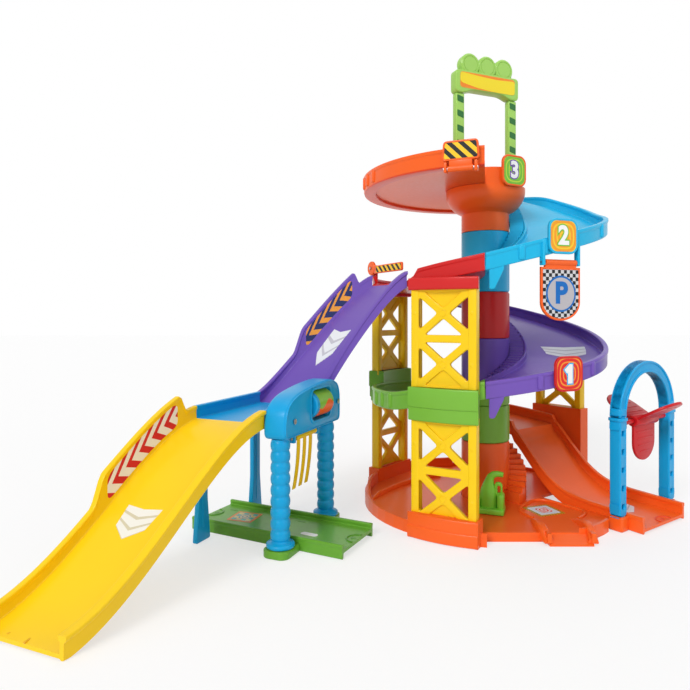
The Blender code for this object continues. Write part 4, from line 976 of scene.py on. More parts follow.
STICKER_RED = Printed("print_sticker_red", "orange_plastic", (0.78, 0.04, 0.03),
                      pattern=Pattern.RINGS, pitch=3.2)
STICKER_ORANGE = Printed("print_sticker_orange", "green_plastic", (0.80, 0.20, 0.03))
STICKER_TEAL = Printed("print_sticker_teal", "green_plastic", (0.10, 0.42, 0.36),
                       (0.72, 0.56, 0.22), Pattern.CHECKS, 5.5)
STICKER_SAND = Printed("print_sticker_sand", "green_plastic", (0.80, 0.62, 0.30),
                       (0.10, 0.30, 0.42), Pattern.RINGS, 3.0, 0.6)


def piece(name: str, mesh: Mesh, finish: Finish, body: Body = Body.GARAGE,
          nodes: Sequence[str] = (), sharp: float = 40.0) -> None:
    """Link a mesh as a piece of the toy.

    Args:
        name: The piece's name.
        mesh: Its mesh in millimetres, in its place at rest.
        finish: Its finish.
        body: The body that it rides on.
        nodes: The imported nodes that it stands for.
        sharp: Edges that bend more than this angle stay sharp.
    """
    mesh.transform(Matrix.Scale(MM, 4))
    mesh.materials.clear()
    mesh.materials.append(finish.material())
    mesh.shade_smooth()
    mesh.set_sharp_from_angle(angle=math.radians(sharp))
    made = bpy.data.objects.new(name, mesh)
    bpy.context.scene.collection.objects.link(made)
    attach(made, body.value)
    if nodes:
        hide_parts(*nodes)
    LOG.info("%s: %d faces", name, len(mesh.polygons))


def sticker_stack(frame: Matrix, corner: float, rows: Sequence[tuple[str, float, Finish]]) -> None:
    """Lay square stickers on each other.

    Args:
        frame: Their middle on the surface.
        corner: Radius of their corners.
        rows: Name, size and finish of each, from the lowest up.
    """
    for number, (name, size, finish) in enumerate(rows):
        flat = shift(frame, -size / 2, -size / 2, PRINT_LIFT * number)
        piece(name, laid(on_flat(flat), size, size, corner, 6, 4), finish)


def on_flat(frame: Matrix) -> Place:
    """Return the place function of a sticker whose lower left corner is a frame's origin."""
    return lambda s, u, lift: frame @ Vector((s, u, lift))


def end_notch(frame: Matrix) -> Mesh:
    """Return the half-moon rim with its round hole that marks a road's end, opening along X.

    Args:
        frame: The middle of the rim, on the road.

    Returns:
        The mesh.
    """
    moon = arc(11.0, 90, 270, 24) + arc(9.0, 270, 90, 24)
    # The hole is a thin disc. Callers give the notch a darker copy of the road's plastic, which is
    # painted shade for the recess.
    hole = arc(2.4, 0, 345, 23)
    return joined([plate([moon], 1.6, frame, 0.5), plate([hole], 0.6, shift(frame, -4.0))])


def dress(frame: dict, nodes: Sequence[str], finish: Finish, rounding: float) -> None:
    """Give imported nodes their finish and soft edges.

    Args:
        nodes: The nodes' names.
        finish: Their finish.
        rounding: Width of the bevel on their edges.
    """
    for name in nodes:
        node = frame["nodes"][name]
        for slot in node.material_slots:
            slot.material = finish.material()
        bevel = node.modifiers.new("soft_edges", "BEVEL")
        bevel.width = rounding * MM
        bevel.segments = 2
        bevel.limit_method = "ANGLE"
        bevel.angle_limit = math.radians(45)
        bevel.use_clamp_overlap = True


def both(make: Callable[[int], Mesh]) -> Mesh:
    """Return what a function makes for the sides -1 and 1, as one mesh."""
    return joined(make(sign) for sign in (-1, 1))


COLUMN_RADIUS = 27.0
COLUMN_BORE = 24.5
HUB = 27.5
TRACK_OUTER = 131.0
TRACK_INNER = 47.0
TRACK_MIDDLE = (TRACK_OUTER + TRACK_INNER) / 2
TRACK_WALL = 3.2
DRAFT = 0.4
FLOOR_THICKNESS = 3.0
WALL_RISE = 12.0
WALL_DROP = 5.0
CURB_RISE = 6.0
SECTION_SOFT = 1.1
DECK_OUTER = 141.0
DECK_FLOOR = 366.0
RIM_FLARE = 0.95
RIM_DEPTH = 4.4
RAMP_LIP = 2.1
LEVEL_GAP = 0.25
TURN_STEP = 2.5

# Heights of the floor along the road about the column, over the unwound angle.
COURSE = [
    (-103.0, DECK_FLOOR), (-300.0, DECK_FLOOR), (-318.0, 362.0), (-360.0, 324.0),
    (-463.0, 266.0), (-497.5, 252.0), (-596.0, 250.0), (-660.0, 218.0), (-740.0, 172.0),
    (-823.0, 143.0), (-870.0, 123.0), (-956.0, 118.0), (-1017.0, 86.0), (-1044.4, 78.0),
]
MOUTH_START = -137.5
MOUTH_END = -169.5
MOUTH_MIDDLE = (MOUTH_START + MOUTH_END) / 2
LEAVE = -1044.4


def road_floor(turn: float) -> float:
    """Return the height of the road's floor at an unwound angle."""
    return eased(turn, COURSE, 5.0)


def rim(edge: float, side: float, rise: float, width: float = RIM_FLARE) -> Outline:
    """Return the points of a wall's thickened rim, upward, on one face of the wall.

    Args:
        edge: Where the wall's face is.
        side: 1 where the rim stands out to higher values, -1 to lower ones.
        rise: The wall's height above the floor.
        width: How far the rim stands out.

    Returns:
        Three points, which draw together where the wall is low.
    """
    out = edge + side * width * min(1.0, max(0.0, (rise - 2.0) / 6.0))
    return [(edge, rise - min(RIM_DEPTH, 0.7 * rise)), (out, rise - min(3.2, 0.5 * rise)),
            (out, rise)]


def channel(width: float, near_rise: float, far_rise: float, drop: float,
            lip: float = RIM_FLARE) -> Outline:
    """Return a channel's outline: floor, side walls with rims, and their skirts.

    Args:
        width: The whole width.
        near_rise: Height of the first wall.
        far_rise: Height of the second wall.
        drop: How far the skirts reach below the floor.
        lip: How far the first wall's rim stands out.

    Returns:
        The outline, with the floor at height 0.
    """
    inner = width - TRACK_WALL
    return [
        (0.0, -drop), (TRACK_WALL - DRAFT, -drop), (TRACK_WALL, -FLOOR_THICKNESS),
        (inner, -FLOOR_THICKNESS), (inner + DRAFT, -drop), (width, -drop),
        *rim(width, 1.0, far_rise), *reversed(rim(inner, -1.0, far_rise)),
        (inner - DRAFT, 0.0), (TRACK_WALL + DRAFT, 0.0),
        *rim(TRACK_WALL, 1.0, near_rise, lip), *reversed(rim(0.0, -1.0, near_rise, lip)),
    ]


def channel_section(near: Vector, far: Vector, floor: float, far_rise: float = WALL_RISE,
                    lip: float = RIM_FLARE) -> list[Vector]:
    """Return a channel's rounded section between two level points, at a floor height.

    Args:
        near: Where the first wall stands.
        far: Where the second wall stands.
        floor: Height of the floor.
        far_rise: Height of the second wall above it.
        lip: How far the first wall's rim stands out.

    Returns:
        The points of the section.
    """
    across = (far - near).normalized()
    outline = channel((far - near).length, WALL_RISE, far_rise, min(WALL_DROP, floor), lip)
    return [near + across * u + UP * (floor + v) for u, v in filleted(outline, SECTION_SOFT)]


@dataclass
class RingLevel:
    """One level of road about the column."""

    node: str
    start: float
    end: float
    finish: Plastic
    rise: Callable[[float], float] = lambda turn: WALL_RISE
    reach: Callable[[float], float] = lambda turn: TRACK_OUTER

    def section(self, turn: float) -> list[Vector]:
        """Return the road's rounded section at an unwound angle.

        Args:
            turn: The angle.

        Returns:
            The points of the section.
        """
        outer, rise = self.reach(turn), max(self.rise(turn), 0.6)
        inner, curb = outer - TRACK_WALL, TRACK_INNER - TRACK_WALL
        outline = [
            (HUB, -FLOOR_THICKNESS), (inner, -FLOOR_THICKNESS), (inner + DRAFT, -WALL_DROP),
            (outer, -WALL_DROP), *rim(outer, 1.0, rise), *reversed(rim(inner, -1.0, rise)),
            (inner - DRAFT, 0.0), (TRACK_INNER, 0.0), (TRACK_INNER, CURB_RISE),
            (curb, CURB_RISE), (curb, CURB_RISE / 2), (HUB, CURB_RISE / 2),
        ]
        floor = road_floor(turn)
        return [polar(r, turn, floor + v) for r, v in filleted(outline, SECTION_SOFT)]

    def build(self) -> None:
        """Make the level."""
        turns = steps(self.start - LEVEL_GAP, self.end + LEVEL_GAP, TURN_STEP)
        sections = [self.section(turn) for turn in turns]
        piece(f"{self.node}_shell", sweep(sections), self.finish, nodes=(self.node,))

    def ribs(self, turns: Sequence[float]) -> None:
        """Make upright half-round ribs on the outer wall at unwound angles.

        Args:
            turns: The angles.
        """
        shapes = []
        for turn in turns:
            low = road_floor(turn) - WALL_DROP + 1.2
            high = road_floor(turn) + self.rise(turn) - 1.2
            frame = wall_frame(turn, self.reach(turn) - 0.2, (low + high) / 2)
            shapes.append(block((6.5, high - low, 4.4), frame, 2.1))
        piece(f"{self.node}_ribs", joined(shapes), self.finish)

    def stairs(self, start: float, end: float) -> None:
        """Make the moulded steps beside the column between two unwound angles.

        Args:
            start: The first angle.
            end: The last angle.
        """
        inner, outer = HUB + 0.6, TRACK_INNER - TRACK_WALL - 0.6
        shapes = []
        turns = steps(start, end, 7.0)
        for first, second in zip(turns, turns[1:]):
            floors = road_floor(first), road_floor(second)
            low, top = min(floors) + 1.0, max(floors) + 4.2
            outline = filleted([(inner, low), (outer, low), (outer, top), (inner, top)], 0.7)
            shapes.append(ring_sweep(outline, steps(first, second, abs(second - first) / 2)))
        piece(f"{self.node}_steps", joined(shapes), self.finish)


def red_rise(turn: float) -> float:
    """Return level 2's wall rise, low across the ramp mouth.

    Args:
        turn: The unwound angle.

    Returns:
        The height above the floor.
    """
    keys = [(MOUTH_START + 4.0, WALL_RISE), (MOUTH_START, 0.6), (MOUTH_END, 0.6),
            (MOUTH_END - 4.0, WALL_RISE)]
    return along_keys(turn + 360.0, keys)


def red_reach(turn: float) -> float:
    """Return level 2's outer radius, straight across the ramp mouth.

    Args:
        turn: The unwound angle.

    Returns:
        The radius.
    """
    angle = turn + 360.0
    if MOUTH_END <= angle <= MOUTH_START:
        return TRACK_OUTER / math.cos(math.radians(angle - MOUTH_MIDDLE))
    return TRACK_OUTER


def green_rise(turn: float) -> float:
    """Return level 1's wall rise, higher past the spiral's end."""
    return along_keys(turn, [(-823.0, WALL_RISE), (-832.0, 14.0)])


def purple_mark(s: float, u: float, lift: float) -> Vector:
    """Return the place of a point of the purple road's mark."""
    turn = -729.0 - math.degrees(s / TRACK_MIDDLE)
    return polar(TRACK_MIDDLE + u, turn, road_floor(turn) + lift)


@dataclass
class Levels:
    """The road from the top deck down to the slide."""

    def build(self) -> None:
        """Make every level with its ribs, steps and road marks."""
        deck = RingLevel("top_deck", -103.0, -300.0, ORANGE, reach=lambda turn: DECK_OUTER)
        blue = RingLevel("blue_spiral", -300.0, -463.0, BLUE)
        red = RingLevel("red_landing", -463.0, -596.0, RED, red_rise, red_reach)
        purple = RingLevel("purple_spiral", -596.0, -823.0, PURPLE)
        green = RingLevel("green_landing", -823.0, -956.0, GREEN, green_rise)
        for level in (deck, blue, red, purple, green):
            level.build()
        deck.ribs((-160, -168, -176, -200, -230, -260, -285))
        blue.ribs((-340, -370, -400, -428, -438, -448))
        purple.ribs((-620, -650, -690, -730, -770, -800))
        green.ribs((-872, -880, -888, -905))
        blue.stairs(-330.0, -455.0)
        purple.stairs(-606.0, -815.0)
        piece("purple_road_chevron", chevron(purple_mark, 20.0, 25.0, 11.0), FLOOR_WHITE)
        fin = filleted([(-1.0, 4.0), (13.0, 4.0), (13.0, 0.0), (4.0, -19.0), (-1.0, -19.0)], 2.0)
        for level, turn in ((blue, -461.0), (purple, -821.0)):
            frame = wall_frame(turn, TRACK_OUTER - 2.6, road_floor(turn) - WALL_DROP)
            piece(f"{level.node}_bracket", plate([fin], 3.2, frame, 0.7), level.finish)


@dataclass
class Slide:
    """The slide round the back and the exit road under the spinner arch."""

    length: float = 162.0
    keys: Keys = ((-18.0, 82.0), (0.0, 78.0), (34.0, 39.0), (62.0, 14.0), (90.0, 8.0),
                  (162.0, 5.0))

    def floor(self, distance: float) -> float:
        """Return the floor's height at a distance along the exit road."""
        return eased(distance, self.keys, 17.0)

    def mark(self, s: float, u: float, lift: float) -> Vector:
        """Return the place of a point of the exit road's mark."""
        return exit_point(112.0 + s, u, self.floor(112.0 + s) + lift)

    def build(self) -> None:
        """Make the slide, its steps and its road marks."""
        sections = [channel_section(polar(TRACK_INNER, turn), polar(TRACK_OUTER, turn),
                                    road_floor(turn))
                    for turn in steps(-956.0 - LEVEL_GAP, LEAVE, TURN_STEP)]
        half = (TRACK_OUTER - TRACK_INNER) / 2
        for distance in steps(0.0, self.length, 4.0)[1:]:
            near, far = (exit_point(distance, side, 0.0) for side in (-half, half))
            sections.append(channel_section(near, far, self.floor(distance)))
        piece("slide_shell", sweep(sections), ORANGE, nodes=("orange_slide",))
        RingLevel("slide", -956.0, LEAVE, ORANGE).stairs(-960.0, LEAVE - 2.0)
        treads = []
        turns = steps(58.0, -50.0, 9.0)
        for number, (first, second) in enumerate(zip(turns, turns[1:])):
            top = 74.0 - 4.9 * number
            outline = filleted([(27.2, 8.7), (46.2, 8.7), (46.2, top), (27.2, top)], 0.9)
            treads.append(ring_sweep(outline, steps(first, second, 3.0)))
        piece("column_foot_steps", joined(treads), ORANGE)
        piece("exit_road_chevron", chevron(self.mark, 18.0, 20.0, 9.0), FLOOR_WHITE)
        # The end notch is drawn in the darker orange copy: painted shade for its recess.
        end = self.length - 1.0
        frame = level_frame(exit_point(end, 6.0, self.floor(end) + 0.1), LEAVE - 90.0)
        piece("exit_road_end_notch", end_notch(frame), PAINTED_SHADE_ORANGE)


def exit_point(distance: float, across: float, z: float) -> Vector:
    """Return the point along the exit road, across from its middle and at a height."""
    side = heading(LEAVE) * (TRACK_MIDDLE + across)
    return side + heading(LEAVE - 90.0) * distance + UP * z


TOWER_WIDTH = 66.0
TOWER_DEPTH = 6.0
TOWER_RADIUS = 138.0
FRONT_TOWER = -119.5
BACK_TOWER = 140.0
SLIDE_TOWER = 37.0
SLIDE_TOWER_RADIUS = 151.0
RAIL_WIDTH = 8.0
RAIL_DEPTH = 11.0
BAR = 7.5
CELLS = 2
BLOCK_WALL = 2.5


@dataclass
class Tower:
    """One lattice tower: crossed bars between two rails, with a boss on each crossing."""

    node: str
    angle: float
    bottom: float
    top: float
    radius: float = TOWER_RADIUS
    filled: bool = True

    def gaps(self, middle: float, cell: float) -> list[Outline]:
        """Return the outlines of the four gaps between the bars of one cell.

        Args:
            middle: Height of the cell's middle.
            cell: Height of the cell.

        Returns:
            The outlines.
        """
        inner = TOWER_WIDTH / 2 - RAIL_WIDTH
        slope = (cell / 2) / inner
        reach = BAR * 0.5 * math.hypot(1.0, slope)
        side = reach / slope
        gaps = []
        for sign in (-1, 1):
            end = middle + sign * cell / 2
            gaps.append([(sign * inner, middle - cell / 2 + reach),
                         (sign * inner, middle + cell / 2 - reach), (sign * side, middle)])
            gaps.append([(side - inner, end), (inner - side, end), (0.0, middle + sign * reach)])
        return [filleted(gap, 3.2) for gap in gaps]

    def build(self) -> None:
        """Make the tower: the lattice, its rails, its bosses and its filled ends."""
        height = self.top - self.bottom
        cell = (height - BAR * (CELLS + 1)) / CELLS
        middles = [BAR + number * (cell + BAR) + cell / 2 for number in range(CELLS)]
        frame = wall_frame(self.angle, self.radius, self.bottom)
        face, rail = TOWER_DEPTH / 2, (TOWER_WIDTH - RAIL_WIDTH) / 2
        outline = moved(rounded_rectangle(TOWER_WIDTH - 1.0, height, 1.2, 3), 0.0, height / 2)
        gaps = [gap for middle in middles for gap in self.gaps(middle, cell)]
        shapes = [plate([outline, *gaps], TOWER_DEPTH - 1.0, frame, 0.9)]
        boss = [(0.0, -1.0), (3.6, -1.0), (3.6, 0.35), (3.0, 0.5), (2.6, 0.1), (0.0, 0.1)]
        stud = [(0.0, -0.6), (1.9, -0.6), (1.9, 0.0), (1.4, 0.25), (0.0, 0.25)]
        shapes += [turned(boss, shift(frame, 0.0, middle, face - 0.5), 32) for middle in middles]
        for x in (-rail, rail):
            place = shift(frame, x, height / 2, (TOWER_DEPTH - RAIL_DEPTH) / 2)
            shapes.append(block((RAIL_WIDTH, height, RAIL_DEPTH), place, 1.1))
            shapes += [turned(stud, shift(frame, x, middle, face), 24) for middle in middles]
        if self.filled:
            inner = TOWER_WIDTH / 2 - RAIL_WIDTH
            for edge, tip in ((height - BAR, height - BAR - cell / 2), (BAR, BAR + cell / 2)):
                web = [(-inner, edge), (inner, edge), (0.0, tip)]
                shapes.append(plate([web], 2.2, shift(frame, z=-0.6)))
        piece(f"{self.node}_lattice", joined(shapes), YELLOW, nodes=(self.node,))


def tower_block(angle: float, radius: float, bottom: float, top: float, depth: float) -> Mesh:
    """Return the curved block that carries a tower's end.

    Args:
        angle: The tower's angle about the column.
        radius: Its radius.
        bottom: The block's lower height.
        top: Its upper height.
        depth: How deep the block is.

    Returns:
        The block's mesh.
    """
    face = radius + TOWER_DEPTH / 2 + BLOCK_WALL
    outer, inner = face + 3.0, face - depth
    half = math.degrees(math.asin((TOWER_WIDTH / 2 + BLOCK_WALL) / outer))
    outline = filleted([(inner, bottom), (outer, bottom), (outer, top), (inner, top)], 1.6)
    return ring_sweep(outline, steps(angle - half, angle + half, 1.6))


@dataclass
class Towers:
    """All five lattice towers and the blocks between them."""

    def build(self) -> None:
        """Make the towers and their blocks."""
        for name, angle in (("front", FRONT_TOWER), ("back", BACK_TOWER)):
            Tower(f"{name}_lower_tower", angle, 12.3, 120.7).build()
            Tower(f"{name}_upper_tower", angle, 142.3, 248.7).build()
        Tower("slide_tower", SLIDE_TOWER, 92.3, 193.7, SLIDE_TOWER_RADIUS, False).build()
        bands = (
            ("socket_bands", ORANGE, ((1.4, 0.2, 24.8, 9.0), (2.4, 0.4, 13.0, 9.0))),
            ("green_tower_blocks", GREEN, ((0.0, 115.0, 148.0, 16.0), (1.2, 128.0, 148.0, 16.0))),
            ("red_tower_blocks", RED, ((0.0, 243.0, 255.0, 16.0),)),
        )
        for name, finish, rows in bands:
            shapes = [tower_block(angle, TOWER_RADIUS + out, low, high, depth)
                      for angle in (FRONT_TOWER, BACK_TOWER) for out, low, high, depth in rows]
            piece(name, joined(shapes), finish)
        top = tower_block(SLIDE_TOWER, SLIDE_TOWER_RADIUS, 188.0, 200.0, 29.0)
        piece("purple_tower_block", top, PURPLE)


@dataclass
class Column:
    """The stacked column with its ribs, and the bowl that carries the deck."""

    seams: tuple[float, ...] = (0.0, 74.0, 116.0, 136.0, 192.0, 245.0, 314.0)
    groove: float = 0.35
    neck: float = 336.0
    bowl_radius: float = 45.0
    bowl_top: float = 362.7

    def section(self, low: float, high: float) -> Mesh:
        """Return one section of the column between two seams, with its rib.

        Args:
            low: The lower seam.
            high: The upper seam.

        Returns:
            The mesh.
        """
        start, outer, soft = low + self.groove, COLUMN_RADIUS, 0.7
        outline = [(COLUMN_BORE, start), (outer - soft, start), (outer, start + soft),
                   (outer, high - soft), (outer - soft, high), (COLUMN_BORE, high)]
        middle = Matrix.Translation(polar(outer - 0.2, -18.0, (low + high) / 2))
        rib = block((3.0, 1.4, high - low - 3.0), middle @ rotated(72, "Z"), 0.5)
        return joined([turned(outline, Matrix.Identity(4), 96), rib])

    def build(self) -> None:
        """Make the sections and the bowl."""
        sections = (
            ("column_foot", ORANGE), ("column_green_section", GREEN),
            ("column_landing_section", GREEN), ("column_purple_section", PURPLE),
            ("column_red_section", RED), ("column_blue_section", BLUE),
        )
        for (name, finish), low, high in zip(sections, self.seams, self.seams[1:]):
            piece(f"{name}_shell", self.section(low, high), finish, nodes=(name,))
        piece("deck_bowl_shell", self.bowl(), ORANGE, nodes=("deck_bowl",))

    def bowl(self) -> Mesh:
        """Return the bowl, round below like a cup.

        Returns:
            The mesh.
        """
        low = self.seams[-1] + self.groove
        outline = [(COLUMN_BORE, low), (COLUMN_RADIUS, low), (COLUMN_RADIUS, self.neck - 1.0)]
        depth = self.bowl_top - 3.0 - self.neck
        for i in range(1, 13):
            turn = math.radians(90 * i / 12)
            outline.append((COLUMN_RADIUS + (self.bowl_radius - COLUMN_RADIUS) * math.sin(turn),
                            self.neck + depth * (1 - math.cos(turn)) ** 0.8))
        outline += [(self.bowl_radius, self.bowl_top), (COLUMN_BORE, self.bowl_top)]
        return turned(outline, Matrix.Identity(4), 96)


BRIDGE_HEADING = 247.0
LEG_B = Vector((-184.0, -62.0, 0.0))
LEG_SPACING = 98.0
OVERHANG = 9.0
BRIDGE_FLOOR = 120.0
DECK_NEAR = 11.5
DECK_FAR = 89.5


def bridge_point(along: float, across: float, z: float = 0.0) -> Vector:
    """Return a place on the bridge: along from its back leg, across from its near side."""
    side = heading(BRIDGE_HEADING - 90.0) * across
    return LEG_B + heading(BRIDGE_HEADING) * along + side + UP * z


def bridge_frame(along: float, across: float, z: float) -> Matrix:
    """Return a frame on the bridge: X along it, Y to its near side, Z up."""
    return level_frame(bridge_point(along, across, z), BRIDGE_HEADING)


def bezier(points: Sequence[Sequence[float]], t: float) -> Vector:
    """Return the point at t on a cubic curve of four control points.

    Args:
        points: The control points.
        t: Share of the way.

    Returns:
        The point.
    """
    s = 1.0 - t
    weights = (s ** 3, 3 * s * s * t, 3 * s * t * t, t ** 3)
    return sum((weight * Vector((point[0], point[1], 0.0))
                for weight, point in zip(weights, points)), Vector((0.0, 0.0, 0.0)))


def falling(high: float, low: float, swing: float) -> Callable[[float], float]:
    """Return a floor height over the share of the length, in part straight and in part swung."""
    return lambda t: high + (low - high) * (swing * t * t * (3 - 2 * t) + (1 - swing) * t)


@dataclass
class Ramp:
    """A road ramp with a raised side panel along its far wall."""

    node: str
    finish: Plastic
    near: Callable[[float], Vector]
    far: Callable[[float], Vector]
    floor: Callable[[float], float]
    panel: Keys

    def panel_rise(self, t: float) -> float:
        """Return the far wall's height above the floor at a share of the length."""
        return eased(t, self.panel, 0.012)

    def wall(self, t: float, height: float, lift: float) -> Vector:
        """Return the point on the side panel's inner face, a lift in front of it.

        Args:
            t: Share of the length.
            height: Height above the floor.
            lift: How far it stands off the face.

        Returns:
            The point.
        """
        across = (self.far(t) - self.near(t)).normalized()
        lean = DRAFT * (1 - height / (self.panel_rise(t) - RIM_DEPTH))
        out = across * (TRACK_WALL + lean + lift)
        return self.far(t) - out + UP * (self.floor(t) + height)

    def build(self) -> None:
        """Make the ramp's shell."""
        sections = [channel_section(self.near(t), self.far(t), self.floor(t),
                                    self.panel_rise(t), RAMP_LIP)
                    for t in steps(0.0, 1.0, 1 / 72)]
        piece(f"{self.node}_shell", sweep(sections), self.finish, nodes=(self.node,))

    def panel_print(self, start: float, end: float, finish: Printed) -> None:
        """Lay a sticker on the side panel's inner face between two shares of the length.

        Args:
            start: The first share.
            end: The last share.
            finish: The sticker's print.
        """
        low, high = 4.0, 24.6
        shares = steps(start, end, 0.02)
        length = sum((self.far(b) - self.far(a)).length for a, b in zip(shares, shares[1:]))

        def place(s: float, u: float, lift: float) -> Vector:
            """Return the place of a point of the sticker."""
            return self.wall(start + (end - start) * s / length, low + u, lift)
        piece(f"{self.node}_panel_print", laid(place, length, high - low, 5.0, 40, 4), finish)

    def road_mark(self, middle: float, finish: Printed) -> None:
        """Lay a chevron on the road at a share of its length.

        Args:
            middle: The share.
            finish: The chevron's print.
        """
        length = (self.near(1.0) - self.near(0.0)).length
        width = (self.far(middle) - self.near(middle)).length

        def place(s: float, u: float, lift: float) -> Vector:
            """Return the place of a point of the chevron."""
            t = middle + s / length
            return self.near(t).lerp(self.far(t), 0.5 + u / width) + UP * (self.floor(t) + lift)
        piece(f"{self.node}_chevron", chevron(place, 15.0, 17.0, 8.0), finish)


@dataclass
class Ramps:
    """The purple ramp down to the bridge and the yellow ramp down to the floor."""

    red_floor: float = 251.0
    yellow_heading: float = 238.0
    yellow_length: float = 196.0
    gap: float = 0.3

    def purple(self) -> Ramp:
        """Return the upper ramp.

        Returns:
            The ramp.
        """
        mouth = math.cos(math.radians(MOUTH_START - MOUTH_MIDDLE))
        start, join = (TRACK_OUTER + self.gap) / mouth, -OVERHANG - self.gap
        near = [polar(start, MOUTH_START), (-126.0, -88.0),
                bridge_point(-34.0, DECK_NEAR + 9.0), bridge_point(join, DECK_NEAR)]
        far = [polar(start, MOUTH_END), (-166.0, 8.0),
               bridge_point(-56.0, DECK_FAR), bridge_point(join, DECK_FAR)]
        panel = ((0.0, 12.0), (0.13, 12.0), (0.17, 30.0), (0.57, 30.0), (0.63, 12.0))
        return Ramp("purple_ramp", PURPLE, lambda t: bezier(near, t), lambda t: bezier(far, t),
                    falling(self.red_floor, BRIDGE_FLOOR, 0.75), panel)

    def yellow(self) -> Ramp:
        """Return the lower ramp.

        Returns:
            The ramp.
        """
        join = LEG_SPACING + OVERHANG + self.gap
        near, far = bridge_point(join, DECK_NEAR), bridge_point(join, DECK_FAR)
        travel = heading(self.yellow_heading) * self.yellow_length
        panel = ((0.0, 12.0), (0.07, 12.0), (0.10, 30.0), (0.52, 30.0), (0.56, 12.0))
        return Ramp("yellow_ramp", YELLOW, lambda t: near + travel * t,
                    lambda t: far + travel * t, falling(BRIDGE_FLOOR, 4.0, 0.7), panel)

    def build(self) -> None:
        """Make both ramps with their stickers."""
        purple, yellow = self.purple(), self.yellow()
        purple.build()
        purple.panel_print(0.19, 0.55, PURPLE_CHEVRONS)
        purple.road_mark(0.48, FLOOR_WHITE)
        yellow.build()
        yellow.panel_print(0.12, 0.50, YELLOW_CHEVRONS)
        yellow.road_mark(0.52, YELLOW_WHITE)
        # The end notch is drawn in the darker yellow copy: painted shade for its recess.
        t = 0.992
        end = yellow.near(t).lerp(yellow.far(t), 0.58) + UP * yellow.floor(t)
        notch = end_notch(level_frame(end, self.yellow_heading))
        piece("yellow_ramp_end_notch", notch, PAINTED_SHADE_YELLOW)


@dataclass
class Bridge:
    """The bridge deck on its two ribbed legs and two flat ones."""

    leg_radius: float = 8.0
    flange: float = 13.0
    foot: float = 7.3
    leg_top: float = 105.7
    ribs: int = 9

    def build(self) -> None:
        """Make the deck and the legs."""
        sections = [channel_section(bridge_point(along, DECK_NEAR), bridge_point(along, DECK_FAR),
                                    BRIDGE_FLOOR)
                    for along in steps(-OVERHANG, LEG_SPACING + OVERHANG, 20.0)]
        piece("bridge_deck_shell", sweep(sections), BRIDGE_BLUE, nodes=("bridge_deck",))
        for name, along in (("back", 0.0), ("front", LEG_SPACING)):
            piece(f"near_{name}_ribbed_leg", self.ribbed_leg(bridge_frame(along, 0.0, 0.0)),
                  BRIDGE_BLUE, nodes=(f"near_{name}_leg",), sharp=60.0)
            piece(f"far_{name}_flat_leg", self.flat_leg(along), BRIDGE_BLUE,
                  nodes=(f"far_{name}_leg",))

    def ribbed_leg(self, frame: Matrix) -> Mesh:
        """Return a near leg with soft ribs and a dished flange.

        Args:
            frame: The foot of the leg.

        Returns:
            The mesh.
        """
        foot, edge = self.foot, self.flange
        outline = [(0.0, foot), (edge - 0.8, foot), (edge, foot + 0.8), (edge, foot + 3.4),
                   (edge - 0.9, foot + 4.2), (self.leg_radius + 1.6, foot + 4.6)]
        low, per = foot + 6.5, 10
        for i in range(self.ribs * per + 1):
            wave = math.sin(math.pi * min(1.0, (i % per) / per * 1.15))
            outline.append((self.leg_radius + 1.1 * max(0.0, wave) ** 0.6,
                            low + (self.leg_top - low) * i / (self.ribs * per)))
        outline.append((0.0, self.leg_top))
        return turned(outline, frame, 64)

    def flat_leg(self, along: float) -> Mesh:
        """Return a far leg, which spreads towards its foot, with a rib down its middle.

        Args:
            along: Where it stands along the bridge.

        Returns:
            The mesh.
        """
        top, half = BRIDGE_FLOOR - WALL_DROP - 0.3, 7.0
        outline = [(-1.6 * half, 0.0), (1.6 * half, 0.0), (half, 0.35 * top), (half, top),
                   (-half, top), (-half, 0.35 * top)]
        frame = upright(bridge_frame(along, DECK_FAR - 2.5, 0.0))
        flat = plate([filleted(outline, 2.5, 5)], 5.0, frame, 0.8)
        rib = block((3.5, 0.8 * top, 1.2), shift(frame, 0.0, 0.52 * top, -2.4), 0.5)
        return joined([flat, rib])


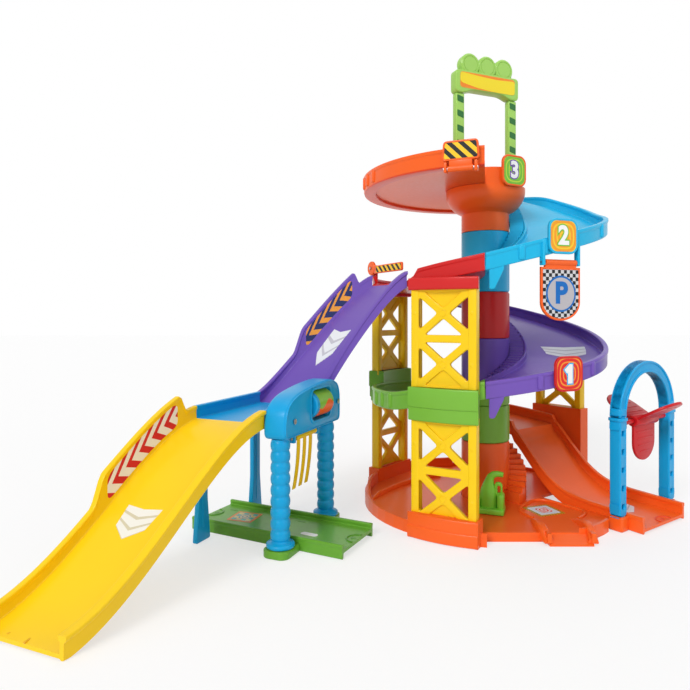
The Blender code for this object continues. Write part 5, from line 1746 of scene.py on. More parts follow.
@dataclass
class CarWash:
    """The car wash beside the bridge: housing, roller and strips."""

    bottom: float = 106.0
    depth: float = 22.0
    roller_radius: float = 13.5
    roller_length: float = 40.0
    roller_along: float = 34.0
    roller_height: float = 130.0
    strip_pitch: float = 13.0
    strip_length: float = 50.0

    def build(self) -> None:
        """Make the housing, the roller, the strips and the screws."""
        self.housing()
        self.roller()
        self.strips()
        self.screws()

    def outline(self, scale: float = 1.0) -> Outline:
        """Return the housing's outline, smooth over its top, shrunk about its middle.

        Args:
            scale: How large it is, 1 for the whole housing.

        Returns:
            The outline.
        """
        corners = [(-13.0, 0.0), (-13.0, 14.0), (-13.0, 31.0), (-7.0, 42.0), (8.0, 46.3),
                   (28.0, 46.0), (60.0, 43.0), (90.0, 38.0), (106.0, 29.0), (110.0, 14.0),
                   (110.0, 0.0), (96.0, 0.0), (1.0, 0.0)]
        x_middle, y_middle, x_scale = 48.5, 22.0, 0.5 + 0.5 * scale
        shrunk = [((x - x_middle) * x_scale + x_middle,
                   self.bottom + (y - y_middle) * scale + y_middle) for x, y in corners]
        return filleted(shrunk, 14.0, 6)

    def window(self, wide: float = 1.0, high: float = 1.0) -> Outline:
        """Return the outline of the opening that shows the roller, stretched about its middle.

        Args:
            wide: How wide it is, 1 for the opening itself.
            high: How high it is, 1 for the opening itself.

        Returns:
            The outline.
        """
        points = rounded_rectangle(self.roller_length + 3.0, 2 * (self.roller_radius + 1.5), 6.0)
        stretched = [(x * wide, y * high) for x, y in points]
        return moved(stretched, self.roller_along, self.roller_height)

    def housing(self) -> None:
        """Make the housing with raised rims along its front face and its window."""
        frame = upright(bridge_frame(0.0, 0.0, 0.0))
        face = -self.depth / 2
        shapes = [
            plate([self.outline(), self.window()], self.depth, frame, 2.6),
            plate([self.outline(0.955), self.outline(0.905)], 1.8, shift(frame, z=face + 0.3), 0.5),
            plate([self.window(1.13, 1.16), self.window()], 1.6, shift(frame, z=face + 0.1), 0.5),
        ]
        for side in (-25.5, 25.5):
            place = bridge_frame(LEG_SPACING / 2 + side, 0.0, self.bottom - 4.0)
            shapes.append(block((4.0, 6.0, 10.0), place, 0.8))
        piece("car_wash_housing", joined(shapes), BRIDGE_BLUE, nodes=("wash_housing",))

    def roller(self) -> None:
        """Make the roller, printed all round, with its blue end disc."""
        axis = crosswise(bridge_frame(self.roller_along, -3.0, self.roller_height))
        half, r, bore, soft = self.roller_length / 2, self.roller_radius, 2.9, 1.6
        body = turned([(bore, -half), (r - soft, -half), (r, -half + soft), (r, half - 6.5),
                       (bore, half - 6.5)], axis, 72)
        layer = body.uv_layers.new(name="print")
        back = axis.inverted()
        for loop in body.loops:
            place = back @ body.vertices[loop.vertex_index].co
            angle = math.degrees(math.atan2(place.y, place.x))
            layer.data[loop.index].uv = (place.z, angle / 4)
        piece("roller_drum", body, ROLLER_PRINT, Body.ROLLER, ("wash_roller",))
        disc = turned([(bore, half - 6.0), (r, half - 6.0), (r, half - 1.2), (r - 1.2, half),
                       (bore, half)], axis, 72)
        piece("roller_end_disc", disc, BRIDGE_BLUE, Body.ROLLER)

    def strips(self) -> None:
        """Make the three hanging strips on their sleeve."""
        rail = bridge_frame(LEG_SPACING / 2, 0.0, self.bottom - 4.8)
        shapes = [barrel(21.5, rail, 32)]
        outline = rounded_rectangle(6.0, 1.4, 0.6, 3)
        for x in (-self.strip_pitch, 0.0, self.strip_pitch):
            sections = []
            for drop in steps(1.5, self.strip_length + 1.5, 4.0):
                bend = -5.0 * (drop / self.strip_length) ** 2
                sections.append([rail @ Vector((u, v, -drop)) for u, v in moved(outline, x, bend)])
            shapes.append(sweep(sections))
        piece("wash_curtain", joined(shapes), YELLOW, Body.STRIPS, ("wash_strips",))

    def screws(self) -> None:
        """Make the two dished screws on the housing's face."""
        profile = [(0.0, -0.6), (2.6, -0.6), (2.6, 0.1), (2.0, 0.6), (1.1, 0.6), (0.7, 0.0),
                   (0.0, 0.0)]
        for name, along, z in (("back", -6.0, 127.0), ("front", 92.0, 121.0)):
            frame = upright(bridge_frame(along, -(self.depth / 2 + 0.9), z))
            piece(f"{name}_screw_head", turned(profile, frame, 32), STEEL,
                  nodes=(f"{name}_housing_screw",))


@dataclass
class GreenRoad:
    """The road under the bridge."""

    heading: float = -27.0
    length: float = 172.0
    half: float = 33.0
    across: float = 26.64
    floor: float = 8.0
    rise: float = 5.0
    tab: tuple[float, float, float] = (36.0, 26.0, 7.0)

    def build(self) -> None:
        """Make the road, its tabs and its marks; its slots and end notches are drawn in a darker
        green as painted shade for their recesses.
        """
        frame = level_frame(bridge_point(LEG_SPACING / 2, self.across), self.heading)
        outline = filleted(channel(2 * self.half, self.rise, self.rise, self.floor), 1.3)
        outline = moved(outline, -self.half, self.floor)
        shapes = [sweep([[frame @ Vector((along, u, v)) for u, v in outline]
                         for along in steps(-self.length / 2, self.length / 2, 20.0)])]
        length, width, height = self.tab
        for along in (4.0, LEG_SPACING - 4.0):
            place = bridge_frame(along, 0.0, height / 2)
            shapes.append(plate([rounded_rectangle(length, width, 8.0)], height, place, 0.9))
        piece("green_road_shell", joined(shapes), ROAD_GREEN, nodes=("green_road",))
        top = shift(frame, z=self.floor)
        pill = laid(on_flat(shift(top, 30.0, -14.0)), 18.0, 7.0, 3.4)
        piece("road_dash", pill, PLAIN_WHITE)
        sticker_stack(shift(top, -46.0, 2.0) @ rotated(8, "Z"), 1.2, (
            ("road_sticker_edge", 28.0, STICKER_ORANGE), ("road_sticker", 23.0, STICKER_TEAL),
            ("road_sticker_mark", 13.0, STICKER_SAND)))
        # Slots and end notches as darker green plates: painted shade for their recesses.
        slot = rounded_rectangle(9.0, 2.6, 1.2)
        marks = [plate([slot], 0.5, shift(top, x, y))
                 for x, y in ((-70.0, 15.0), (-18.0, 20.0), (14.0, 17.0), (52.0, -20.0))]
        marks += [end_notch(shift(top @ rotated(turn, "Z"), self.length / 2 - 1.0))
                  for turn in (0, 180)]
        piece("road_mouldings", joined(marks), PAINTED_SHADE_GREEN)


@dataclass
class SpinnerArch:
    """The arch over the exit road with the paddle that a car turns."""

    along: float = 140.0
    half_span: float = 49.0
    leg: float = 12.0
    leg_top: float = 115.0
    foot: float = 15.3
    band: float = 6.0
    edge: float = 2.4
    holes: int = 5
    hole: float = 5.0
    first_hole: float = 25.0
    hole_pitch: float = 18.5
    spinner_height: float = 108.0
    blades: int = 3
    blade_length: float = 43.0
    blade_width: float = 42.0
    blade_end: float = 20.0
    blade_ribs: int = 4
    blade_rib_pitch: float = 7.0

    def frame(self, across: float, z: float) -> Matrix:
        """Return a frame at the arch: X across the road, Y against the travel, Z up."""
        return level_frame(exit_point(self.along, across, z), LEAVE)

    def build(self) -> None:
        """Make the legs, the ring, the paddle and the seats."""
        for name, sign in (("near", -1), ("far", 1)):
            piece(f"{name}_arch_post", self.post(sign), BRIDGE_BLUE, nodes=(f"{name}_arch_leg",))
        piece("arch_ring_shell", self.ring(), BRIDGE_BLUE, nodes=("arch_ring",))
        self.paddle()
        piece("arch_leg_seats", both(lambda sign: block(
            (14.0, 16.0, 15.0), self.frame(sign * (self.half_span - 1.0), self.foot / 2), 2.0)),
            ORANGE)

    def post(self, sign: int) -> Mesh:
        """Return one leg with its square holes and its collar.

        Args:
            sign: -1 for the near leg, 1 for the far one.

        Returns:
            The mesh.
        """
        height = self.leg_top - self.foot
        outline = moved(rounded_rectangle(self.leg, height, 1.5), 0.0, height / 2)
        hole, low = rounded_rectangle(self.hole, self.hole, 0.8, 3), self.first_hole - self.foot
        holes = [moved(hole, 0.0, low + number * self.hole_pitch) for number in range(self.holes)]
        frame = upright(self.frame(sign * self.half_span, self.foot))
        collar = self.frame(sign * self.half_span, self.leg_top - 2.1)
        return joined([plate([outline, *holes], self.leg, frame, 1.5),
                       plate([rounded_rectangle(16.0, 16.0, 5.0)], 3.4, collar, 0.8)])

    def ring(self) -> Mesh:
        """Return the half ring, with a raised rim along both edges of its face and two clips.

        Returns:
            The mesh.
        """
        frame = upright(self.frame(0.0, self.leg_top + 0.3))
        outer, inner, edge = self.half_span + self.band, self.half_span - self.band, self.edge
        shapes = []
        for high, low, depth in ((outer, inner, self.leg - 2.0), (outer, outer - edge, self.leg),
                                 (inner + edge, inner, self.leg)):
            band = arc(high, 0, 180, 48) + arc(low, 180, 0, 48)
            shapes.append(plate([band], depth, frame, 0.8))
        clips = both(lambda sign: block(
            (12.6, 12.6, 9.0), self.frame(sign * self.half_span, self.leg_top + 5.0), 2.6))
        return joined([*shapes, clips])

    def paddle(self) -> None:
        """Make the three round-ended blades on their hub."""
        middle = self.frame(0.0, self.spinner_height)
        hub = [(2.9, -22.0), (5.2, -22.0), (6.0, -21.0), (6.0, 21.0), (5.2, 22.0), (2.9, 22.0)]
        shapes = [turned(hub, crosswise(middle), 48)]
        half, corner = self.blade_width / 2, self.blade_end
        end = []
        for turn in range(0, -181, -10):
            point = polar(1.0, turn)
            end.append((half * point.x, corner - self.blade_length + corner * point.y))
        outline = [(half, -4.0), *end, (-half, -4.0)]
        for number in range(self.blades):
            blade = upright(middle @ rotated(360 / self.blades * number, "X"))
            shapes.append(plate([outline], 3.0, blade, 0.9))
            for side in (-1.5, 1.5):
                for k in range(self.blade_ribs):
                    rib = (self.blade_width - 9.0 - k ** 2 * 1.6, 1.6, 0.9)
                    place = shift(blade, 0.0, -12.0 - k * self.blade_rib_pitch, side)
                    shapes.append(block(rib, place, 0.4))
        piece("spinner_paddle", joined(shapes), SPINNER_RED, Body.SPINNER, ("spinner",))


@dataclass
class SignArch:
    """The arch over the top deck: two posts and the board with its three bumps."""

    turn: float = 22.0
    half_span: float = 36.0
    bottom: float = 472.0
    top: float = 498.0
    length: float = 86.0
    depth: float = 12.0
    bump: float = 12.5
    bump_pitch: float = 23.0
    post_feet: tuple[float, float] = (369.3, 363.0)
    marks: int = 4
    mark_pitch: float = 17.0

    def frame(self, across: float, z: float) -> Matrix:
        """Return a frame on the board: X along it, Y up, Z to the front."""
        origin = heading(self.turn) * across + UP * z
        return axes(origin, heading(self.turn), UP, heading(self.turn - 90.0))

    def build(self) -> None:
        """Make the posts, the board and its sticker; the slanted inset marks on the posts are dark
        green plates, painted shade for the insets.
        """
        mark = filleted([(-4.2, -3.6), (4.2, -5.8), (4.2, 1.4), (-4.2, 3.6)], 1.2)
        for name, sign, low in zip(("near", "far"), (-1, 1), self.post_feet):
            height = self.bottom - 0.3 - low
            frame = self.frame(sign * self.half_span, low + height / 2)
            post = block((11.0, height, 8.0), frame, 1.4)
            piece(f"{name}_post", post, LIGHT_GREEN, nodes=(f"{name}_sign_post",))
            # The inset marks are dark green plates on the post's face: painted shade.
            first = self.bottom - 6.0 - low - height / 2
            marks = [plate([mark], 0.6, shift(frame, 0.0, first - number * self.mark_pitch, 3.9))
                     for number in range(self.marks)]
            piece(f"{name}_post_inset_painted_shade", joined(marks), PAINTED_SHADE_DARK_GREEN)
        middle = self.frame(0.0, (self.bottom + self.top) / 2)
        piece("sign_board_shell", self.board(middle), LIGHT_GREEN, nodes=("sign_board",))
        face = shift(middle, 0.0, 1.6, self.depth / 2)
        border = rounded_rectangle(75.0, 18.0, 3.5)
        panel = filleted([(-37.4, 8.6), (-37.4, -3.2), (-16.0, -7.0), (8.0, -8.9), (37.4, -8.9),
                          (37.4, 7.2), (12.0, 5.6), (-14.0, 6.8)], 4.0, 5)
        piece("sign_border", plate([border], PRINT_DEPTH, face), SIGN_ORANGE)
        piece("sign_panel", plate([panel], PRINT_DEPTH, shift(face, z=0.14)), SIGN_YELLOW)

    def board(self, middle: Matrix) -> Mesh:
        """Return the board, arched below, with its three ringed bumps.

        Args:
            middle: Frame in the board's middle.

        Returns:
            The mesh.
        """
        w, h = self.length / 2, (self.top - self.bottom) / 2
        arched = [(-w, h), (-w, -h), (12.0 - w, -h), (22.0 - w, 4.5 - h), (w - 22.0, 4.5 - h),
                  (w - 12.0, -h), (w, -h), (w, h)]
        shapes = [plate([filleted(arched, 5.0, 5)], self.depth, middle, 1.3)]
        r, half = self.bump, self.depth / 2 - 0.5
        profile = [(0.0, -half), (r - 1.4, -half), (r, -half + 1.4), (r, half - 1.4),
                   (r - 1.4, half), (r - 3.0, half), (r - 3.4, half - 0.6), (r - 3.8, half),
                   (0.0, half)]
        for across in (-self.bump_pitch, 0.0, self.bump_pitch):
            neck = (2 * r - 2.4, 13.0, 2 * half - 1.6)
            shapes.append(block(neck, self.frame(across, self.top + 3.0), 1.4))
            shapes.append(turned(profile, self.frame(across, self.top + 8.0), 56))
        return joined(shapes)


@dataclass
class Badge:
    """A numbered level badge."""

    node: str
    angle: float
    radius: float
    height: float
    figure: str
    rim: Plastic
    face: Printed
    edge: Printed
    side: float = 34.0
    corner: float = 9.0
    depth: float = 3.0
    figure_size: float = 25.0

    def build(self) -> None:
        """Make the badge, its sticker and its number."""
        frame = wall_frame(self.angle, self.radius + 0.3 + self.depth / 2, self.height)
        side, corner = self.side, self.corner
        outline = rounded_rectangle(side, side, corner)
        rim_hole = rounded_rectangle(side - 4.0, side - 4.0, corner - 1.6)
        body = [plate([outline], self.depth - 0.8, frame, 0.8),
                plate([outline, rim_hole], self.depth, frame, 0.6)]
        piece(f"{self.node}_plate", joined(body), self.rim, nodes=(self.node,))
        top = self.depth / 2 - 0.4
        inner = rounded_rectangle(side - 4.4, side - 4.4, corner - 2.0)
        face = plate([inner], PRINT_DEPTH, shift(frame, z=top))
        piece(f"{self.node}_print", print_layer(face, frame), self.face)
        for name, lift, depth, grow, finish in (("outline", 0.15, PRINT_DEPTH, 2.1, self.edge),
                                                ("figure", 0.25, 0.4, 0.9, PLAIN_WHITE)):
            shape = self.number(shift(frame, z=top + lift), depth, grow)
            piece(f"{self.node}_{name}", shape, finish)

    def number(self, place: Matrix, depth: float, grow: float) -> Mesh:
        """Return the number, its outline moved outward; the 1 is drawn stout like the others.

        Args:
            place: Frame in the number's middle.
            depth: How thick it is.
            grow: How far its outline is moved outward.

        Returns:
            The mesh.
        """
        if self.figure != "1":
            return glyph(self.figure, self.figure_size, place, depth, grow)
        stout = [(-5.0, 4.0), (0.4, 8.4), (2.8, 8.4), (2.8, -8.4), (-1.0, -8.4), (-1.0, 3.4),
                 (-3.0, 1.6)]
        return plate([inset(stout, -grow)], depth, place)


@dataclass
class ParkingSign:
    """The parking sign that swings from the blue spiral."""

    angle: float = -70.0
    radius: float = TRACK_OUTER - 2.0
    height: float = 269.0
    width: float = 46.0
    length: float = 56.0
    round_end: float = 18.0
    disc_drop: float = 30.0
    ring_radius: float = 17.5
    disc_radius: float = 15.6
    letter_size: float = 28.0

    def outline(self, shrink: float) -> Outline:
        """Return the sign's outline, round below, moved inward.

        Args:
            shrink: How far it is moved inward.

        Returns:
            The outline.
        """
        w, fall = self.width / 2, self.round_end
        low = fall - self.length
        points = [(w, -4.5), (-w, -4.5), (-w, low)]
        points += [(x, low + y * fall / w) for x, y in arc(w, 180, 360, 24)][1:]
        return inset(points, shrink)

    def build(self) -> None:
        """Make the sign with its stickers, and the ears that carry it."""
        frame = wall_frame(self.angle, self.radius, self.height)
        outline = self.outline(0.0)
        body = [plate([outline], 2.2, frame, 0.7),
                plate([outline, self.outline(2.1)], 3.0, frame, 0.7),
                block((37.0, 8.0, 2.6), shift(frame, 0.0, -3.0), 0.6), barrel(18.0, frame)]
        piece("parking_sign_plate", joined(body), ORANGE, Body.PARKING_SIGN, ("parking_sign",))
        face = plate([self.outline(2.2)], PRINT_DEPTH, shift(frame, z=1.15))
        piece("parking_sign_checks", print_layer(face, frame), CHECKS, Body.PARKING_SIGN)
        disc = shift(frame, 0.0, -self.disc_drop, 1.25)
        for name, radius, lift, finish in (("ring", self.ring_radius, 0.1, RING_BLUE),
                                           ("disc", self.disc_radius, 0.2, SIGN_GREY)):
            circle = arc(radius, 0, 352.5, 47)
            round_face = plate([circle], PRINT_DEPTH, shift(disc, z=lift))
            piece(f"parking_sign_{name}", round_face, finish, Body.PARKING_SIGN)
        letter = glyph("P", self.letter_size, shift(disc, z=0.3), 0.35, 1.2)
        piece("parking_sign_letter", letter, RING_BLUE, Body.PARKING_SIGN)
        ears = both(lambda sign: block((3.0, 21.0, 6.0), shift(frame, sign * 20.5, 7.5), 0.8))
        piece("parking_sign_ears", ears, BLUE)


@dataclass
class Gates:
    """The hazard gate on the deck and the barrier across the ramp mouth."""

    gate_angle: float = -112.0
    gate_reach: float = 4.0
    gate_height: float = 357.0
    arm_height: float = 272.0
    arm_past_mouth: float = 5.5
    arm_length: float = 60.0
    arm_width: float = 9.0
    arm_middle: float = 36.0

    def build(self) -> None:
        """Make both gates."""
        self.top_gate()
        self.gate_arm()

    def both_prints(self, gate: str, outline: Outline, frame: Matrix, lift: float,
                    finish: Printed, body: Body) -> None:
        """Lay a print on the front and the back of a gate.

        Args:
            gate: The gate's name.
            outline: The print's outline.
            frame: The gate's middle plane.
            lift: How far each print stands off that plane.
            finish: The print.
            body: The body that it rides on.
        """
        for name, side in (("front", lift), ("back", -lift)):
            face = print_layer(plate([outline], PRINT_DEPTH, shift(frame, z=side)), frame)
            piece(f"{gate}_{name}_print", face, finish, body)

    def top_gate(self) -> None:
        """Make the hazard gate and its ears."""
        frame = wall_frame(self.gate_angle, DECK_OUTER + self.gate_reach, self.gate_height)
        outline = filleted([(-18.0, 7.5), (18.0, 7.5), (16.5, 26.5), (-16.5, 26.5)], 4.0, 6)
        leaf = [plate([outline], 2.2, frame, 0.7),
                plate([outline, inset(outline, 1.8)], 3.0, frame, 0.6),
                block((22.0, 9.0, 2.4), shift(frame, 0.0, 4.5), 0.6), barrel(12.0, frame)]
        piece("top_gate_leaf", joined(leaf), ORANGE, Body.TOP_GATE, ("top_gate",))
        self.both_prints("top_gate", inset(outline, 1.9), frame, 1.15, HAZARD, Body.TOP_GATE)
        ears = both(lambda sign: block((3.0, 10.0, 8.0), shift(frame, sign * 14.5, 1.5, -1.5), 0.9))
        piece("top_gate_ears", ears, ORANGE)

    def gate_arm(self) -> None:
        """Make the barrier arm, its prints and its post."""
        across = polar(TRACK_OUTER, MOUTH_START) - polar(TRACK_OUTER, MOUTH_END)
        turn = MOUTH_END - self.arm_past_mouth
        pivot = polar(TRACK_OUTER - TRACK_WALL / 2, turn, self.arm_height)
        frame = axes(pivot, across.normalized(), UP, heading(MOUTH_MIDDLE))
        arm = shift(frame, z=TRACK_WALL / 2 + 2.5)
        disc = turned([(HINGE_BORE, -1.5), (7.4, -1.5), (8.0, -0.9), (8.0, 0.9), (7.4, 1.5),
                       (HINGE_BORE, 1.5)], arm, 48)
        outline = rounded_rectangle(self.arm_length, self.arm_width, 2.0)
        bar = plate([moved(outline, self.arm_middle, -2.0)], 2.4, arm, 0.6)
        piece("gate_arm_bar", joined([disc, bar]), ORANGE, Body.GATE_ARM, ("gate_arm",))
        inner = moved(rounded_rectangle(53.0, 6.6, 1.0), 38.0, -2.0)
        self.both_prints("gate_arm", inner, arm, 1.2, ARM_HAZARD, Body.GATE_ARM)
        piece("gate_arm_post", block((9.0, 16.0, TRACK_WALL), shift(frame, 0.0, -4.5), 0.9), RED)


@dataclass
class FuelPump:
    """The fuel pump on the base."""

    place: tuple[float, float, float] = (-9.0, -62.0, 9.3)
    turn: float = -20.0
    flat: float = 0.78
    sides: int = 28

    def build(self) -> None:
        """Make the pump with its slanted nozzle and handle."""
        place = Matrix.Translation(self.place) @ rotated(self.turn, "Z")
        rows = ((-2.0, 4.0, 8.8), (-2.0, 10.0, 9.4), (-2.0, 18.0, 9.2), (-1.8, 25.0, 7.8),
                (-1.4, 30.0, 5.8), (-0.6, 34.0, 4.6), (0.8, 37.6, 4.0), (3.6, 40.2, 3.6),
                (8.0, 41.2, 3.1), (13.6, 40.6, 2.6))
        path = [Vector((x, 0.0, z)) for x, z, _ in rows]
        wide = Vector((0.0, 1.0, 0.0))
        sections = []
        for number, (_, _, radius) in enumerate(rows):
            ahead = path[min(number + 1, len(path) - 1)] - path[max(number - 1, 0)]
            side = ahead.cross(wide).normalized()
            ring = [polar(radius, 360 * k / self.sides) for k in range(self.sides)]
            sections.append([place @ (path[number] - side * point.x + wide * self.flat * point.y)
                             for point in ring])
        shapes = [block((30.0, 22.0, 6.0), shift(place, z=3.0), 1.4), sweep(sections),
                  block((7.0, 16.0, 18.0), shift(place, 11.0, 0.0, 12.0), 2.6),
                  block((5.0, 18.0, 13.0), shift(place, -12.2, 0.0, 9.0), 2.0)]
        grip = moved(rounded_rectangle(8.4, 15.0, 4.0), 8.6, 25.0)
        slot = moved(rounded_rectangle(3.2, 8.0, 1.5), 9.2, 25.0)
        shapes.append(plate([grip, slot], 5.0, upright(place), 0.9))
        piece("fuel_pump_shell", joined(shapes), PUMP_GREEN, nodes=("fuel_pump",))


@dataclass
class Base:
    """The mouldings on the base and on the deck: walls, curbs, bay and stickers."""

    floor: float = 9.0
    foot: float = 8.6
    track_radius: float = 135.5
    entry: tuple[float, float] = (30.0, 72.0)
    entry_front: float = 132.5
    entry_back: float = 86.0
    entry_swell: float = 2.2
    bay_middle: tuple[float, float] = (50.0, -56.0)
    bay_turn: float = 20.0
    bay_edge_top: float = 11.4

    def build(self) -> None:
        """Make every moulding of the base."""
        self.track_wall()
        self.curbs()
        self.bay()
        self.deck_walls()

    def ridge(self, points: Sequence[Vector], width: float, rises: Sequence[float],
              low: float) -> Mesh:
        """Return a rounded ridge along points on the floor.

        Args:
            points: Its middle line.
            width: How wide it is.
            rises: Its height above the floor at each point.
            low: The height it starts from.

        Returns:
            The ridge's mesh.
        """
        sections = []
        last = len(points) - 1
        foot, top = width / 2, 0.38 * width
        for number, (point, rise) in enumerate(zip(points, rises)):
            ahead = points[min(number + 1, last)] - points[max(number - 1, 0)]
            side = UP.cross(ahead.normalized())
            outline = filleted([(-foot, low), (foot, low), (top, rise), (-top, rise)], 1.6, 4)
            sections.append([point + side * u + UP * v for u, v in outline])
        return sweep(sections)

    def track_wall(self) -> None:
        """Make the curved wall and curb of the low road that leaves to the left."""
        turns = steps(96.0, 190.0, 3.0)
        wall = [polar(self.track_radius, turn) for turn in turns]
        keys = [(96.0, 21.0), (170.0, 22.0), (184.0, 14.0), (190.0, 10.5)]
        rises = [along_keys(turn, keys) for turn in turns]
        shapes = [self.ridge(wall, 5.0, rises, self.foot)]
        curve = [(-40.0, 82.0), (-85.0, 55.0), (-112.0, 18.0), (-133.5, -20.0)]
        shares = steps(0.0, 1.0, 0.05)
        rises = [along_keys(t, [(0.0, 14.0), (0.85, 14.5), (1.0, 10.0)]) for t in shares]
        shapes.append(self.ridge([bezier(curve, t) for t in shares], 4.6, rises, self.foot))
        piece("base_track_wall", joined(shapes), ORANGE)

    def curbs(self) -> None:
        """Make the two rounded curbs beside the entry."""
        shares = steps(0.0, 1.0, 0.05)
        keys = [(0.0, 10.0), (0.3, 15.0), (0.62, 16.0), (0.85, 12.5), (1.0, 5.5)]
        rises = [eased(t, keys, 0.1) for t in shares]
        shapes = []
        for x, swell in zip(self.entry, (-self.entry_swell, self.entry_swell)):
            line = [Vector((x + swell * math.sin(math.pi * t),
                            -self.entry_back - (self.entry_front - self.entry_back) * t, 0.0))
                    for t in shares]
            shapes.append(self.ridge(line, 10.0, rises, 2.2))
        piece("entry_curbs", joined(shapes), ORANGE)

    def bay(self) -> None:
        """Make the bay's raised edge and its diamond sticker."""
        corners = [(30.0, -88.0), (22.0, -54.0), (50.0, -20.0), (66.0, -24.0), (94.0, -64.0),
                   (74.0, -88.0)]
        line = [Vector((x, y, 0.0)) for x, y in filleted(corners, 12.0, 6)[4:-4]]
        edge = self.ridge(line, 4.0, [self.bay_edge_top] * len(line), self.foot)
        piece("bay_edge", edge, ORANGE)
        sticker_stack(level_frame(Vector((*self.bay_middle, self.floor)), self.bay_turn), 1.5, (
            ("bay_sticker_edge", 32.0, HAZARD_EDGE), ("bay_sticker", 25.0, STICKER_BLUE),
            ("bay_sticker_mark", 14.0, STICKER_RED)))

    def deck_walls(self) -> None:
        """Make the low wall on the bowl beside the badge, and the rim under the deck, which is
        drawn in a darker copy of the orange as painted shade under the deck.
        """
        wall = filleted([(41.0, 362.0), (44.6, 362.0), (45.2, 381.0), (41.0, 381.0)], 1.2)
        turns = steps(-111.0, -44.0, TURN_STEP)
        piece("deck_inner_wall", ring_sweep(wall, turns), ORANGE)
        # Ring under the deck's edge in the darker orange copy: painted shade under the deck.
        inner, outer, low = 127.0, DECK_OUTER - 0.4, DECK_FLOOR - WALL_DROP - 1.0
        top = low + 3.6
        under = filleted([(inner, low), (outer, low), (outer, top), (inner, top)], 0.9)
        turns = steps(-103.2, -299.8, TURN_STEP)
        piece("deck_under_rim_painted_shade", ring_sweep(under, turns), PAINTED_SHADE_ORANGE)


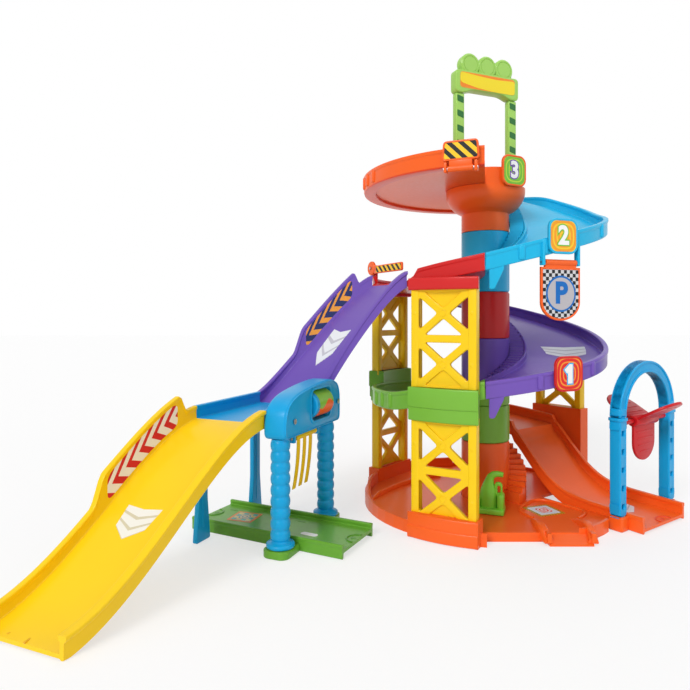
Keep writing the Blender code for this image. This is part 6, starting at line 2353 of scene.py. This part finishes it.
@dataclass
class Studio:
    """The camera, the lamps, the floor and the backdrop."""

    width: float = 690.0
    focal: float = 600.0
    horizon: float = 316.0
    sensor: float = 36.0
    camera_place: tuple[float, float, float] = (-0.16333, -0.700, 0.2176)
    soft_light: float = 0.46
    floor_white: float = 0.62

    def build(self) -> None:
        """Set up the whole studio."""
        self.camera()
        self.lamps()
        self.world()
        self.floor()

    def camera(self) -> None:
        """Set the camera where the photograph was taken from."""
        data = bpy.data.cameras.new("camera")
        data.sensor_fit = "HORIZONTAL"
        data.sensor_width = self.sensor
        data.lens = self.focal / self.width * self.sensor
        data.shift_y = (self.horizon - self.width / 2) / self.width
        data.clip_start = 0.01
        item = bpy.data.objects.new("camera", data)
        item.location = self.camera_place
        item.rotation_euler = (math.radians(90), 0.0, 0.0)
        bpy.context.scene.collection.objects.link(item)
        bpy.context.scene.camera = item

    def lamps(self) -> None:
        """Light the toy softly from the front left, the right and above."""
        for name, place, strength, spread in (("key_sun", (-0.95, -1.6, 1.2), 1.6, 20.0),
                                              ("fill_sun", (1.6, -1.1, 0.9), 0.4, 40.0),
                                              ("top_sun", (0.3, 0.4, 2.0), 0.55, 50.0)):
            data = bpy.data.lights.new(name, "SUN")
            data.energy = strength
            data.angle = math.radians(spread)
            item = bpy.data.objects.new(name, data)
            item.location = place
            item.rotation_euler = (-Vector(place)).to_track_quat("-Z", "Y").to_euler()
            bpy.context.scene.collection.objects.link(item)

    def seen(self, wiring: Wiring) -> Socket:
        """Return 1 for the rays of the camera, of glossy and of clear surfaces, else 0.

        Args:
            wiring: The material's wiring.

        Returns:
            The value.
        """
        path = wiring.node("ShaderNodeLightPath").outputs
        share = wiring.sum("ADD", path["Is Camera Ray"], path["Is Glossy Ray"])
        share = wiring.sum("ADD", share, path["Is Transmission Ray"])
        return wiring.sum("MINIMUM", share, 1.0)

    def world(self) -> None:
        """Light the toy with a pale surrounding that looks white."""
        scene = bpy.context.scene
        scene.view_settings.view_transform = "Standard"
        world = bpy.data.worlds.new("studio")
        world.use_nodes = True
        world.node_tree.nodes.clear()
        scene.world = world
        wiring = Wiring(world.node_tree)
        soft, white = (wiring.feed(wiring.node("ShaderNodeBackground"),
                                   Color=(1.0, 1.0, 1.0, 1.0), Strength=strength)
                       for strength in (self.soft_light, 1.0))
        wiring.join(wiring.node("ShaderNodeOutputWorld"),
                    wiring.mix(self.seen(wiring), soft, white))

    def floor(self) -> None:
        """Lay the pale floor, which looks nearly white and keeps the toy's shadow."""
        mesh = mesh_from(lambda work: bmesh.ops.create_grid(work, x_segments=1, y_segments=1,
                                                            size=6.0))
        floor = bpy.data.objects.new("floor", mesh)
        floor.location = (0.0, 0.0, -0.2 * MM)
        material = bpy.data.materials.new("studio_floor")
        material.use_nodes = True
        wiring, nodes = Wiring(material.node_tree), material.node_tree.nodes
        shader = wiring.feed(nodes["Principled BSDF"], Base_Color=(0.97, 0.97, 0.97, 1.0),
                             Roughness=0.7)
        share = wiring.sum("MULTIPLY", self.seen(wiring), self.floor_white)
        white = wiring.node("ShaderNodeEmission")
        wiring.feed(nodes["Material Output"], Surface=wiring.mix(share, shader, white))
        mesh.materials.append(material)
        bpy.context.scene.collection.objects.link(floor)


def main() -> None:
    """Load the frame and dress the toy, piece by piece."""
    logging.basicConfig(level=logging.INFO, format="%(name)s %(message)s")
    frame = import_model()
    badges = (
        Badge("level_one_badge", -67.0, TRACK_OUTER, 162.0, "1", RED, RINGS_ONE, EDGE_BLUE),
        Badge("level_two_badge", -70.0, TRACK_OUTER, 294.0, "2", BLUE, RINGS_TWO, EDGE_GREEN),
        Badge("level_three_badge", -62.0, 45.0, 377.0, "3", ORANGE, RINGS_THREE, EDGE_PURPLE),
    )
    for assembly in (Studio(), Levels(), Slide(), Towers(), Column(), Ramps(), Bridge(), CarWash(),
                     GreenRoad(), SpinnerArch(), SignArch(), *badges, ParkingSign(), Gates(),
                     FuelPump(), Base()):
        assembly.build()
    pins = ("top_gate_pin", "parking_sign_pin", "gate_arm_pin", "roller_pin", "strip_rail")
    dress(frame, ("base_deck", "slide_tower_socket"), ORANGE, 0.8)
    dress(frame, ("spinner_axle",), SPINNER_RED, 0.4)
    dress(frame, pins, STEEL, 0.2)
    bpy.context.view_layer.update()


if __name__ == "__main__":
    main()
